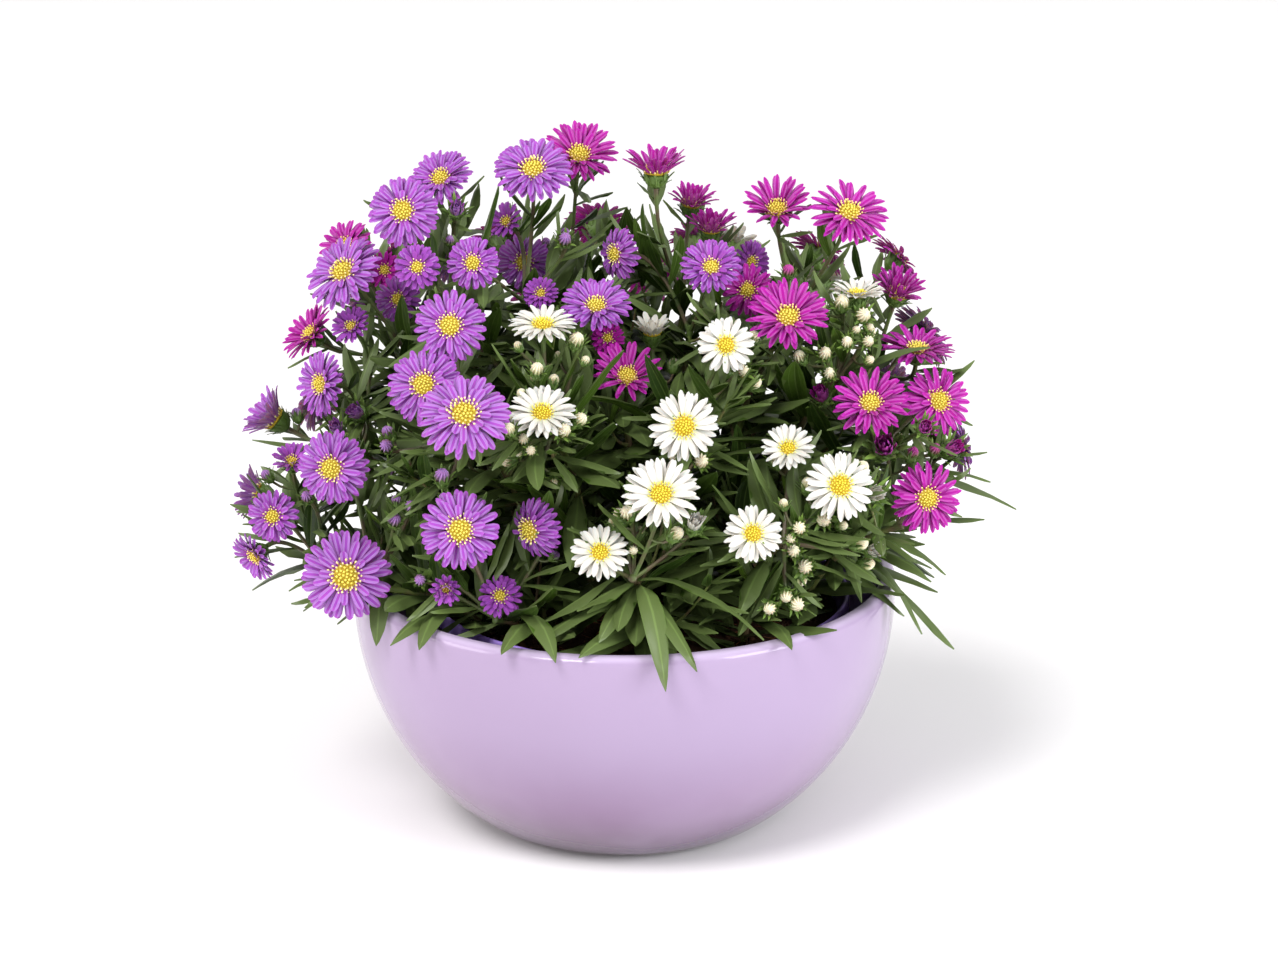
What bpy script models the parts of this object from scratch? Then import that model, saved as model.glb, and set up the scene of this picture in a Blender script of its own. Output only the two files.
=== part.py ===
"""Potted asters: violet, magenta and white asters in a nursery pot, which stands in a glazed bowl.

Units are metres, +Z is up and the front faces -Y. The origin is the middle of the bowl's foot.
Each plant is a set of leafy stems that rise from the compost. Each stem ends in a fork, and a spray
of flower heads and buds stands on it.
"""

import itertools
import math
import random
from collections import namedtuple

import bmesh
import bpy
from mathutils import Vector
from mathutils.bvhtree import BVHTree

MM = 0.001
GAP = 0.0003  # between pieces that touch
SHARP_ANGLE = math.radians(40)

# The bowl: a deep round shell on a low foot
BOWL_RADIUS = 0.120
BOWL_HEIGHT = 0.113
BOWL_WIDEST = 0.105  # height of its widest circle
BOWL_DEPTH_CURVE = 0.123  # how far below the widest circle the curve would close
BOWL_CURVE_POWER = 2.034
BOWL_WALL = 0.0075
BOWL_FLOOR = 0.008
RIM_ROUND = (0.0035, 0.0028)  # how far in and down the rim's outer edge is rounded
RIM_ROUND_SIDE = 0.0008
RIM_INNER_CHAMFER = (0.0022, 0.0040)
OUTSIDE_HEIGHTS = (0.098, 0.074, 0.050, 0.029, 0.012)
INSIDE_HEIGHTS = (0.022, 0.046, 0.074)
INSIDE_LIFT = 0.004  # the inside curve lies higher than the outside by this
FLOOR_EDGE = 0.057
FOOT_RADIUS = 0.060
FOOT_STEP = 0.0025
BOWL_SIDES = 30

# The nursery pot, set a little forward and to the right in the bowl
POT_X = 0.007
POT_Y = -0.010
POT_RIM_RADIUS = 0.092
POT_BASE_RADIUS = 0.043
POT_RIM_Z = 0.106
POT_LIP_HEIGHT = 0.008
POT_LIP = 0.002
POT_WALL = 0.0015
POT_SIDES = 24
DRAIN_HOLES = 4
DRAIN_HOLE_RADIUS = 0.004
DRAIN_CIRCLE = 0.028
CUTTER_SIDES = 4

# The compost
SOIL_EDGE_Z = 0.096
SOIL_CROWN = 0.005  # how much higher it is in the middle
SOIL_LUMP = 0.0016
STEM_HOLE_DEPTH = 0.014
STEM_HOLE_RADIUS = 0.0030
SOIL_RINGS = (0.72, 0.38)  # shares of its radius

# Stems, stalks and leaves
STEM_RADIUS = 0.0017
STEM_TOP_RADIUS = 0.0013
STEM_POINTS = 5
STEM_LEAN = 0.18  # how far a stem has leaned, and risen, at the middle of its bend
STEM_RISE = 0.80
FORK_SHARE = 0.80  # how far along the way from root to heads the fork is
FORK_BELOW = 0.009  # the fork is at least this far under the lowest head of its spray
SHORTEST_STEM = 0.026
STALK_RADIUS = 0.0009
FORK_RADIUS = 0.0018
FORK_LENGTH = 0.004
FORK_SIDES = 4
LEAF_SPACING = 0.0172
LOWEST_LEAF = 0.05  # share of the stem that is bare above the compost
LEAF_LENGTHS = (0.060, 0.036)  # at the foot and at the top of a stem
LEAF_WIDTH_SHARE = 0.215
LEAF_STATIONS = (0.0, 0.28, 0.63, 1.0)
LEAF_WIDTHS = (0.80, 1.0)
LEVEL_ENOUGH = 0.05
LEAF_THICKNESS = 0.0011
LEAF_CLEARANCE = 0.0006
GOLDEN_ANGLE = math.radians(137.5)
# A shown leaf is tried with these added, in turn, until it has room: to its tip's depth in mm, to the
# share of the stem where it grows, and to its droop
SHOWN_TRIES = tuple(itertools.product((0, 8, -8), (0, -0.12, -0.24), (0, 0.15, -0.15, 0.3)))
# Any other leaf that would cross a piece is tried again: turned round its stem (degrees), and shorter
LEAF_TRIES = (
    (0, 1.0), (30, 1.0), (-30, 1.0), (60, 0.85), (-60, 0.85), (100, 0.75), (-100, 0.75), (160, 0.65))

# Flower heads
LARGE_HEAD = 0.0145  # heads of this reach or more have more petals
PETALS_LARGE = 12
PETALS_SMALL = 9
DISC_SHARE = 0.30  # of the head's reach
DISC_HEIGHT = 0.18
DISC_EDGE = 0.0008  # how far the disc's edge stands above the middle of the petals
NOTCH_SHARE = 0.60  # where two petals part
NOTCH_RISE = math.radians(2)
PETAL_TURN = math.radians(30)  # sets each corner of the disc amid the petals that it joins
LAYER_RISES = (math.radians(-4), math.radians(12))
LAYER_REACHES = (1.0, 0.92)
INVOLUCRE_DEPTH = 0.0068
STALK_SIDES = 3
STALK_BEND = 0.4  # the share of its length over which a stalk turns to its head
STALK_STATIONS = (1.0, 0.55, 0.0)  # from its head to the fork
DISC_SIDES = 5  # also of the ring under the petals, so that their two sides never cross
UNDER_SHARE = 0.30  # the radius of that ring, where the green cup begins
UNDER_DEPTH = 0.0012
BUD_TIP = 1.5  # a bud's sizes are shares of its reach
BUD_WIDTH = 0.85
BUD_BACK = 1.2

# The eye that the front view is seen from, and its picture's scale
EYE = Vector((0.0065, -1.2, 0.5223))
EYE_PITCH = math.radians(17.14)
EYE_FOCAL_PX = 2856
PICTURE_MIDDLE_PX = (639, 479.5)

COLOURS = {
    "violet": (0.36, 0.16, 0.62),
    "magenta": (0.56, 0.06, 0.50),
    "white": (0.86, 0.86, 0.80),
    "leaf": (0.06, 0.13, 0.03),
    "glaze": (0.66, 0.52, 0.78),
    "pot": (0.17, 0.09, 0.36),
    "soil": (0.035, 0.018, 0.010),
}
ROUGHNESS = {"glaze": 0.18, "pot": 0.45, "soil": 0.95, "leaf": 0.5}

Head = namedtuple("Head", "centre axis reach cup")
Stem = namedtuple("Stem", "name colour root heads buds")


def facing(turn, rise):
    """The way a head looks: turn to the right of the viewer and rise above level, in degrees."""
    turn, rise = math.radians(turn), math.radians(rise)
    return Vector((math.sin(turn) * math.cos(rise), -math.cos(turn) * math.cos(rise), math.sin(rise)))


def sight(across_px, down_px, depth):
    """The point at that depth (Y) which the eye sees at this place in its picture."""
    right = (across_px - PICTURE_MIDDLE_PX[0]) / EYE_FOCAL_PX
    up = (PICTURE_MIDDLE_PX[1] - down_px) / EYE_FOCAL_PX
    sin, cos = math.sin(EYE_PITCH), math.cos(EYE_PITCH)
    ray = Vector((right, cos + up * sin, up * cos - sin))
    return EYE + ray * ((depth - EYE.y) / ray.y)


def seen(across_px, down_px, depth_mm, reach_px, turn=0, rise=20, cup=0):
    """A head by its place and reach in the front view, its depth, and the way it looks."""
    centre = sight(across_px, down_px, depth_mm * MM)
    scale = (centre - EYE).length / EYE_FOCAL_PX
    return Head(centre, facing(turn, rise), reach_px * scale, math.radians(cup))


def behind(x_mm, y_mm, z_mm, reach_mm, turn=180, rise=25, cup=0):
    """A head that the front view doesn't show, by its own place."""
    return Head(Vector((x_mm, y_mm, z_mm)) * MM, facing(turn, rise), reach_mm * MM, math.radians(cup))


STEMS = (
    Stem("violet_low_left", "violet", (-54, -16), (
        seen(261, 495, -4, 34, -105, 5, 38), seen(273, 516, -46, 27, -5, 12, 6),
        seen(256, 555, -34, 28, -42, -22, 16), seen(292, 462, -38, 22, 0, 60, 30)),
        (seen(308, 498, -50, 7, -20, 40),)),
    Stem("violet_left", "violet", (-56, 6), (
        seen(276, 420, 5, 38, -80, 38, 42), seen(322, 384, -28, 34, -48, 12, 10),
        seen(352, 327, -6, 22, -30, 45, 20)),
        (seen(358, 413, -30, 11, -20, 30), seen(337, 429, -34, 10, -10, 40), seen(388, 470, -40, 8, 10, 30))),
    Stem("violet_left_front", "violet", (-52, -44), (
        seen(332, 468, -64, 39, -15, 8, 0), seen(346, 576, -74, 47, 0, 12, 0)),
        (seen(394, 522, -68, 8, 10, 50), seen(410, 509, -66, 8, 20, 50))),
    Stem("violet_shoulder", "violet", (-42, 22), (
        seen(344, 272, -6, 42, -35, 42, 5), seen(398, 299, 16, 24, 0, 10, 5)), ()),
    Stem("violet_crown_left", "violet", (-30, 4), (
        seen(403, 211, -14, 37, -5, 25, 0), seen(441, 179, 14, 34, -26, 46, 12),
        seen(417, 267, -26, 24, 0, 15, 8)), (seen(456, 211, -5, 10, 10, 40),)),
    Stem("violet_crown", "violet", (-14, 14), (
        seen(533, 170, 4, 41, 0, 52, 8), seen(473, 263, -24, 28, -5, 20, 0),
        seen(507, 222, 24, 21, -30, 35, 25)), (seen(565, 241, 0, 8, 0, 40),)),
    Stem("violet_front_left", "violet", (-34, -30), (
        seen(450, 326, -62, 38, 0, 22, 0), seen(424, 385, -74, 40, -8, 28, 0),
        seen(464, 415, -104, 48, 0, 44, 4)),
        (seen(387, 447, -60, 8, -10, 30), seen(442, 479, -80, 9, 0, 60))),
    Stem("violet_low", "violet", (-30, -60), (
        seen(460, 530, -100, 42, 5, 15, 0), seen(446, 588, -86, 20, 0, 0, 35),
        seen(500, 596, -82, 23, 0, 30, 0), seen(530, 530, -86, 34, -42, 0, -18)),
        (seen(421, 580, -84, 7, -10, 20),)),
    Stem("violet_centre", "violet", (-8, -8), (
        seen(596, 307, -28, 37, 3, 59, 14), seen(541, 294, -10, 19, -10, 40, 15),
        seen(524, 262, 38, 29, 0, 10, 0)), ()),
    Stem("violet_right_centre", "violet", (22, 6), (
        seen(616, 254, 4, 28, -50, 5, -8), seen(711, 268, -18, 32, 0, 42, 16),
        seen(750, 262, 36, 23, 35, 10, 10)), ()),
    Stem("magenta_left", "magenta", (-50, 30), (
        seen(312, 335, 26, 34, -60, 40, 20), seen(346, 246, 32, 30, -30, 40, 10),
        seen(385, 270, 40, 20, -10, 20, 10), behind(-104, 66, 238, 15, -130, 35, 0)), ()),
    Stem("magenta_top", "magenta", (-6, 34), (
        seen(579, 156, 30, 41, 8, 53, 17), behind(-56, 64, 246, 15, 190, 40, 0),
        behind(-12, 84, 248, 17, 175, 35, 0)), ()),
    Stem("magenta_top_right", "magenta", (20, 30), (
        seen(656, 173, 6, 41, 0, 86, 35), seen(691, 205, 42, 31, 25, 74, 35),
        seen(711, 231, 22, 31, 10, 78, 36), behind(34, 80, 242, 15, 170, 40, 0)), ()),
    Stem("magenta_shoulder", "magenta", (46, 16), (
        seen(777, 210, 4, 38, -5, 51, 30), seen(849, 213, -8, 42, 12, 52, 6),
        behind(88, 66, 240, 15, 130, 40, 0)), ()),
    Stem("magenta_mid", "magenta", (42, -10), (
        seen(788, 318, -50, 44, 0, 47, 18), seen(748, 290, 8, 28, -10, 20, 5)),
        (seen(788, 273, -20, 7, 0, 60),)),
    Stem("magenta_right_high", "magenta", (64, 22), (
        seen(897, 294, 12, 35, 25, 62, 35), seen(917, 351, -10, 40, 10, 78, 14),
        behind(122, 48, 240, 15, 110, 35, 0)), ()),
    Stem("magenta_right", "magenta", (70, -4), (
        seen(870, 404, -54, 41, 0, 46, 15), seen(938, 401, -32, 37, 20, 22, 0)),
        (seen(822, 396, -40, 12, -20, 40), seen(924, 428, -58, 10, 10, 30))),
    Stem("magenta_right_low", "magenta", (72, -30), (
        seen(927, 498, -56, 38, 12, 12, 0),),
        (seen(951, 450, -36, 12, 30, 30), seen(885, 447, -52, 16, -10, 30))),
    Stem("magenta_centre", "magenta", (8, -22), (
        seen(627, 377, -44, 39, 0, 50, 27), seen(608, 338, -30, 18, 0, 20, 0)), ()),
    Stem("white_left", "white", (-12, -40), (
        seen(543, 326, -62, 35, 0, 75, 9), seen(542, 414, -84, 36, 5, 58, 11)),
        (seen(576, 343, -62, 9, 10, 60), seen(537, 372, -74, 8, 0, 60), seen(524, 440, -84, 7, -10, 30),
         seen(537, 474, -80, 7, 0, 30), seen(510, 431, -92, 8, -20, 40), seen(562, 431, -88, 9, 20, 30))),
    Stem("white_centre", "white", (28, -36), (
        seen(684, 426, -92, 37, 5, 15, 0), seen(726, 345, -64, 30, 0, 20, 0),
        seen(652, 334, -16, 28, 0, 80, 38)),
        (seen(742, 371, -60, 8, 10, 20), seen(700, 461, -84, 9, 10, 20))),
    Stem("white_front", "white", (10, -62), (
        seen(661, 495, -110, 41, 0, 45, 14), seen(600, 553, -96, 31, 0, 42, 4)),
        (seen(694, 525, -100, 12, 20, 45), seen(628, 515, -92, 9, -20, 45), seen(632, 550, -92, 6, 20, 20))),
    Stem("white_right", "white", (50, -58), (
        seen(753, 534, -104, 31, 0, 34, 4), seen(840, 486, -90, 37, 8, 28, 0),
        seen(788, 449, -74, 28, -5, 50, 15)),
        (seen(824, 518, -84, 9, 0, 0), seen(806, 566, -84, 9, -10, 10), seen(872, 494, -76, 11, 30, 20),
         seen(872, 550, -72, 10, 30, 20), seen(795, 603, -92, 9, 20, 10), seen(799, 528, -98, 8, 0, 20))),
    Stem("white_high", "white", (58, -22), (
        seen(857, 296, -30, 30, 5, 86, 20),),
        (seen(842, 305, -36, 9, -10, 50), seen(862, 316, -40, 9, 10, 30), seen(825, 355, -44, 8, -10, 40),
         seen(867, 342, -42, 7, 10, 30))),
    Stem("violet_back_left", "violet", (-36, 42), (
        behind(-138, 50, 176, 17, -125, 20, 0), behind(-113, 80, 220, 18, -140, 30, 0),
        behind(-92, 104, 168, 15, -160, 15, 0), behind(-78, 86, 232, 16, -160, 40, 0)), ()),
    Stem("magenta_back", "magenta", (-2, 54), (
        behind(-38, 118, 206, 18, -170, 20, 0), behind(12, 124, 216, 18, 178, 28, 0),
        behind(-6, 128, 168, 15, 180, 10, 0), behind(-50, 112, 152, 12, -165, 5, 10)), ()),
    Stem("white_back", "white", (38, 48), (
        behind(50, 110, 232, 17, 165, 40, 0), behind(58, 124, 196, 17, 160, 20, 0),
        behind(34, 128, 158, 13, 170, 5, 0), behind(92, 96, 220, 15, 145, 30, 0)), ()),
    Stem("violet_back_right", "violet", (58, 34), (
        behind(134, 40, 208, 17, 120, 30, 0), behind(122, 74, 176, 17, 135, 15, 0),
        behind(150, 22, 160, 15, 100, 10, 0), behind(92, 104, 152, 14, 150, 5, 0)), ()),
)

# Leaves that stand out in the front view: (stem, share of its length, the tip's place there, the tip's
# depth in mm, droop, width in mm)
SHOWN_LEAVES = (
    ("magenta_right", 0.97, 1016, 510, -20, 0.30, 10.0),
    ("magenta_right_low", 0.97, 984, 520, -30, 0.20, 8.5),
    ("magenta_right_low", 0.90, 945, 576, -50, 0.40, 8.5),
    ("magenta_right_low", 0.70, 932, 582, -62, 0.40, 8.0),
    ("magenta_right_low", 0.80, 922, 634, -52, 0.80, 9.0),
    ("magenta_right", 0.55, 861, 603, -68, 0.60, 8.5),
    ("white_high", 0.97, 930, 348, -42, 0.45, 8.0),
    ("magenta_right_high", 0.97, 957, 312, 24, 0.30, 5.0),
    ("magenta_right", 0.97, 972, 360, 2, 0.15, 7.5),
    ("magenta_right", 0.80, 799, 393, -32, 0.20, 8.0),
    ("white_high", 0.85, 801, 359, -34, 0.05, 8.0),
    ("magenta_shoulder", 0.97, 857, 284, -10, 0.45, 9.0),
    ("magenta_right", 0.70, 795, 556, -62, 0.50, 8.0),
    ("white_front", 0.85, 663, 692, -131, 0.85, 9.5),
    ("white_front", 0.55, 696, 672, -129, 0.75, 9.0),
    ("white_front", 0.97, 763, 641, -110, 0.70, 10.0),
    ("white_right", 0.25, 793, 650, -102, 0.45, 8.0),
    ("white_front", 0.97, 578, 612, -112, 0.30, 9.5),
    ("white_front", 0.70, 600, 643, -113, 0.55, 8.5),
    ("white_front", 0.40, 583, 659, -123, 0.60, 9.0),
    ("violet_low", 0.85, 556, 663, -124, 0.80, 9.0),
    ("violet_low", 0.55, 505, 655, -120, 0.60, 9.5),
    ("white_right", 0.85, 741, 616, -96, 0.30, 9.0),
    ("white_centre", 0.25, 712, 614, -86, 0.55, 9.0),
    ("violet_low_left", 0.70, 288, 591, -50, 0.60, 9.0),
    ("violet_low_left", 0.90, 254, 590, -6, 0.50, 8.0),
    ("violet_left", 0.97, 252, 441, -2, 0.30, 5.5),
    ("violet_left_front", 0.97, 377, 646, -74, 0.80, 8.5),
    ("violet_left_front", 0.35, 387, 645, -84, 0.50, 8.5),
    ("violet_left_front", 0.55, 418, 650, -92, 0.60, 9.5),
    ("violet_low_left", 0.85, 303, 553, -54, 0.55, 8.5),
    ("violet_left_front", 0.85, 413, 481, -62, 0.05, 7.0),
    ("violet_left", 0.55, 398, 466, -32, 0.20, 8.5),
    ("violet_front_left", 0.55, 416, 462, -68, 0.35, 8.5),
    ("white_centre", 0.85, 642, 354, -66, 0.10, 9.0),
    ("white_centre", 0.85, 586, 397, -62, 0.45, 9.5),
    ("white_centre", 0.70, 617, 458, -72, 0.30, 8.5),
    ("magenta_centre", 0.40, 573, 461, -62, 0.20, 10.0),
    ("white_left", 0.25, 530, 484, -76, 0.20, 10.0),
    ("white_left", 0.85, 502, 483, -84, 0.35, 8.5),
    ("white_centre", 0.97, 771, 405, -72, 0.35, 8.0),
    ("white_centre", 0.85, 746, 471, -84, 0.35, 8.5),
    ("magenta_mid", 0.25, 738, 424, -48, 0.15, 8.0),
    ("white_front", 0.85, 566, 528, -98, 0.50, 8.0),
    ("white_left", 0.97, 492, 345, -72, 0.20, 7.5),
    ("white_left", 0.97, 625, 350, -76, 0.30, 8.0),
    ("white_left", 0.85, 610, 418, -84, 0.25, 7.5),
    ("magenta_top_right", 0.97, 628, 208, 18, 0.15, 11.0),
    ("violet_crown_left", 0.97, 500, 186, -8, 0.10, 9.0),
    ("violet_crown", 0.97, 620, 219, 22, 0.20, 8.5),
)


def clear_scene():
    for obj in list(bpy.data.objects):
        bpy.data.objects.remove(obj)


def new_collection(name):
    collection = bpy.data.collections.new(name)
    bpy.context.scene.collection.children.link(collection)
    return collection


def material(name):
    made = bpy.data.materials.get(name)
    if made is None:
        made = bpy.data.materials.new(name)
        made.use_nodes = True
        shader = made.node_tree.nodes["Principled BSDF"]
        shader.inputs["Base Color"].default_value = (*COLOURS[name], 1)
        shader.inputs["Roughness"].default_value = ROUGHNESS.get(name, 0.6)
        shader.inputs["Metallic"].default_value = 0.0
    return made


def object_of(name, mesh, collection, finish=None):
    obj = bpy.data.objects.new(name, mesh)
    collection.objects.link(obj)
    if finish:
        mesh.materials.append(material(finish))
    return obj


def mesh_of(name, points, faces):
    mesh = bpy.data.meshes.new(name)
    mesh.from_pydata([tuple(p) for p in points], [], faces)
    mesh.update()
    return mesh


def evaluated_mesh(obj):
    graph = bpy.context.evaluated_depsgraph_get()
    return bpy.data.meshes.new_from_object(obj.evaluated_get(graph))


def turned(name, profile, sides, collection, finish, centre=(0, 0)):
    """A profile of (radius, height) points turned round the vertical through centre."""
    points = [(radius, 0, height) for radius, height in profile]
    steps = [(i, (i + 1) % len(points)) for i in range(len(points))]
    edges = [(a, b) for a, b in steps if points[a][0] or points[b][0]]
    mesh = bpy.data.meshes.new(name)
    mesh.from_pydata(points, edges, [])
    obj = object_of(name, mesh, collection, finish)
    obj.location = (*centre, 0)
    screw = obj.modifiers.new("Turn", "SCREW")
    screw.steps = screw.render_steps = sides
    screw.use_merge_vertices = True
    screw.merge_threshold = 0.0001
    mesh = evaluated_mesh(obj)
    mesh.shade_smooth()
    mesh.set_sharp_from_angle(angle=SHARP_ANGLE)
    obj.modifiers.clear()
    obj.data = mesh
    return obj


def bowl_radius_at(height):
    """Outer radius of the bowl's wall."""
    below = max(0.0, (BOWL_WIDEST - height) / BOWL_DEPTH_CURVE)
    return BOWL_RADIUS * (1 - below**BOWL_CURVE_POWER) ** (1 / BOWL_CURVE_POWER)


def bowl_profile():
    """Down the outside from the rim, across the foot, then up the inside."""
    rim = BOWL_HEIGHT
    inner = BOWL_RADIUS - BOWL_WALL
    outside = [(BOWL_RADIUS - RIM_ROUND[0], rim), (BOWL_RADIUS - RIM_ROUND_SIDE, rim - RIM_ROUND[1])]
    outside += [(bowl_radius_at(z), z) for z in OUTSIDE_HEIGHTS]
    foot = [(bowl_radius_at(FOOT_STEP), FOOT_STEP), (FOOT_RADIUS, FOOT_STEP), (FOOT_RADIUS, 0), (0, 0)]
    inside = [(0, BOWL_FLOOR), (FLOOR_EDGE, BOWL_FLOOR)]
    inside += [(bowl_radius_at(z) - BOWL_WALL, z + INSIDE_LIFT) for z in INSIDE_HEIGHTS]
    inside += [(inner, rim - RIM_INNER_CHAMFER[1]), (inner + RIM_INNER_CHAMFER[0], rim)]
    return outside + foot + inside


def pot_profile():
    lip = POT_RIM_Z - POT_LIP_HEIGHT
    base_z = BOWL_FLOOR + GAP
    slope = (POT_RIM_RADIUS - POT_LIP - POT_BASE_RADIUS) / (lip - base_z)
    wall = POT_WALL * math.hypot(1, slope)
    floor_z = base_z + POT_WALL
    outer = POT_RIM_RADIUS - POT_LIP
    return [
        (POT_RIM_RADIUS, POT_RIM_Z), (POT_RIM_RADIUS, lip), (outer, lip), (POT_BASE_RADIUS, base_z),
        (0, base_z), (0, floor_z), (POT_BASE_RADIUS + slope * POT_WALL - wall, floor_z), (outer - wall, lip),
        (POT_RIM_RADIUS - POT_WALL, POT_RIM_Z)]


def pot_inner_radius(height):
    profile = pot_profile()
    (low_radius, low), (high_radius, high) = profile[6], profile[7]
    return low_radius + (high_radius - low_radius) * (height - low) / (high - low)


def drain_holes(pot, cutters):
    """Holes through the nursery pot's floor, evenly round it."""
    shape = bmesh.new()
    for i in range(DRAIN_HOLES):
        angle = 2 * math.pi * (i + 0.5) / DRAIN_HOLES
        made = bmesh.ops.create_cone(
            shape, cap_ends=True, segments=CUTTER_SIDES, radius1=DRAIN_HOLE_RADIUS,
            radius2=DRAIN_HOLE_RADIUS, depth=2 * DRAIN_HOLE_RADIUS)
        place = Vector((math.cos(angle), math.sin(angle), 0)) * DRAIN_CIRCLE
        place += Vector((POT_X, POT_Y, BOWL_FLOOR))
        bmesh.ops.translate(shape, verts=made["verts"], vec=place)
    cut_from(pot, shape, "drain_hole_cutter", cutters)


def cut_from(obj, shape, name, cutters):
    """Takes the bmesh shape out of obj with a Boolean."""
    mesh = bpy.data.meshes.new(name)
    shape.to_mesh(mesh)
    shape.free()
    cutter = object_of(name, mesh, cutters)
    cutter.hide_render = True
    cutter.display_type = "WIRE"
    cut = obj.modifiers.new("Cut", "BOOLEAN")
    cut.operation = "DIFFERENCE"
    cut.object = cutter


def soil_height(x, y):
    """The compost's surface: a low crown with small lumps."""
    from_middle = math.hypot(x - POT_X, y - POT_Y) / POT_RIM_RADIUS
    lumps = math.sin(x * 190 + 1) * math.cos(y * 160 + 2) + math.sin((x + y) * 310) * 0.5
    return SOIL_EDGE_Z + SOIL_CROWN * (1 - from_middle**2) + SOIL_LUMP * lumps * (1 - from_middle**6)


def compost(collection, cutters):
    """A plug that fills the nursery pot, with a plain hole for each stem."""
    base_z = BOWL_FLOOR + POT_WALL + 2 * GAP
    rings = [(pot_inner_radius(z) - 2 * GAP, z) for z in (base_z, SOIL_EDGE_Z)]
    sides, few = POT_SIDES, POT_SIDES // 2
    points = [Vector((POT_X, POT_Y, base_z))]
    for radius, z in rings:
        points += ring_points(Vector((POT_X, POT_Y, z)), radius, sides)
    for share in SOIL_RINGS:
        for p in ring_points(Vector((POT_X, POT_Y, 0)), rings[1][0] * share, few):
            points.append(Vector((p.x, p.y, soil_height(p.x, p.y))))
    points.append(Vector((POT_X, POT_Y, soil_height(POT_X, POT_Y))))
    low = 1
    rim = low + sides
    outer = rim + sides
    inner = outer + few
    top = inner + few
    faces = [(0, low + (i + 1) % sides, low + i) for i in range(sides)]
    faces += between(low, sides, rim, sides)
    faces += between(rim, sides, outer, few)
    faces += between(outer, few, inner, few)
    faces += [(inner + i, inner + (i + 1) % few, top) for i in range(few)]
    plug = object_of("compost", mesh_of("compost", points, faces), collection, "soil")
    holes = bmesh.new()
    for stem in STEMS:
        foot, above = stem_line(stem)[:2]
        way = (above - foot).normalized()
        made = bmesh.ops.create_cone(
            holes, cap_ends=True, segments=CUTTER_SIDES, radius1=STEM_HOLE_RADIUS,
            radius2=STEM_HOLE_RADIUS, depth=2 * STEM_HOLE_DEPTH)
        turn = way.to_track_quat("Z", "Y").to_matrix()
        bmesh.ops.rotate(holes, verts=made["verts"], matrix=turn, cent=(0, 0, 0))
        bmesh.ops.translate(holes, verts=made["verts"], vec=foot + way * (STEM_HOLE_DEPTH - GAP))
    cut_from(plug, holes, "stem_hole_cutter", cutters)
    return plug


def ring_points(centre, radius, count):
    return [centre + Vector((math.cos(a), math.sin(a), 0)) * radius
            for a in (2 * math.pi * i / count for i in range(count))]


def between(first, first_count, second, second_count):
    """Triangles between two rings of points, of any two counts, that start at the same angle."""
    faces = []
    i = j = 0
    while i < first_count or j < second_count:
        a, b = first + i % first_count, second + j % second_count
        if j == second_count or (i < first_count and (i + 1) * second_count <= (j + 1) * first_count):
            faces.append((a, first + (i + 1) % first_count, b))
            i += 1
        else:
            faces.append((a, second + (j + 1) % second_count, b))
            j += 1
    return faces


def across(direction):
    """Two unit vectors at right angles to direction and to each other."""
    level = Vector((0, 0, 1)).cross(direction)
    if level.length < LEVEL_ENOUGH:
        level = Vector((1, 0, 0)).cross(direction)
    level.normalize()
    return level, direction.cross(level).normalized()


def head_back(head):
    """Where a head's stalk joins it."""
    return head.centre - head.axis * INVOLUCRE_DEPTH


def root_point(stem):
    x, y = stem.root[0] * MM, stem.root[1] * MM
    return Vector((x, y, soil_height(x, y) - STEM_HOLE_DEPTH))


def fork_point(stem):
    """Where a stem ends: part of the way from its root to the middle of its heads."""
    backs = [head_back(head) for head in stem.heads]
    root = root_point(stem)
    fork = root.lerp(sum(backs, Vector()) / len(backs), FORK_SHARE)
    fork.z = max(min(fork.z, min(back.z for back in backs) - FORK_BELOW), root.z + SHORTEST_STEM)
    return fork


def stem_line(stem):
    """The stem's own points: straight up from the compost, then leaning to its fork."""
    root, fork = root_point(stem), fork_point(stem)
    bend = root.lerp(fork, STEM_LEAN)
    bend.z = root.z + (fork.z - root.z) * STEM_RISE
    line = []
    for i in range(STEM_POINTS):
        t = i / (STEM_POINTS - 1)
        line.append(root * (1 - t) ** 2 + bend * 2 * t * (1 - t) + fork * t * t)
    return line


def stem_body(stem, collection):
    """A tapering tube along the stem's line."""
    line = stem_line(stem)
    curve = bpy.data.curves.new(stem.name, "CURVE")
    curve.dimensions = "3D"
    curve.bevel_depth = 1.0
    curve.bevel_resolution = 0
    curve.use_fill_caps = True
    spline = curve.splines.new("POLY")
    spline.points.add(len(line) - 1)
    for i, (point, place) in enumerate(zip(spline.points, line)):
        point.co = (*place, 1)
        point.radius = STEM_RADIUS + (STEM_TOP_RADIUS - STEM_RADIUS) * i / (len(line) - 1)
    tube = bpy.data.objects.new("tube", curve)
    collection.objects.link(tube)
    mesh = evaluated_mesh(tube)
    bpy.data.objects.remove(tube)
    shape = bmesh.new()
    shape.from_mesh(mesh)
    bmesh.ops.remove_doubles(shape, verts=shape.verts, dist=0.00001)
    bmesh.ops.recalc_face_normals(shape, faces=shape.faces)
    shape.to_mesh(mesh)
    shape.free()
    return mesh


def loft(rings, sides):
    """Triangles between rings of equal counts, each given as the index of its first point."""
    faces = []
    for first, second in zip(rings, rings[1:]):
        faces += between(first, sides, second, sides)
    return faces


def flipped(faces):
    return [tuple(reversed(face)) for face in faces]


def ring_round(centre, side, over, radius, count, points):
    """Adds a ring of points to a list. Returns the index of its first."""
    first = len(points)
    for i in range(count):
        a = 2 * math.pi * i / count
        points.append(centre + (side * math.cos(a) + over * math.sin(a)) * radius)
    return first


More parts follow.
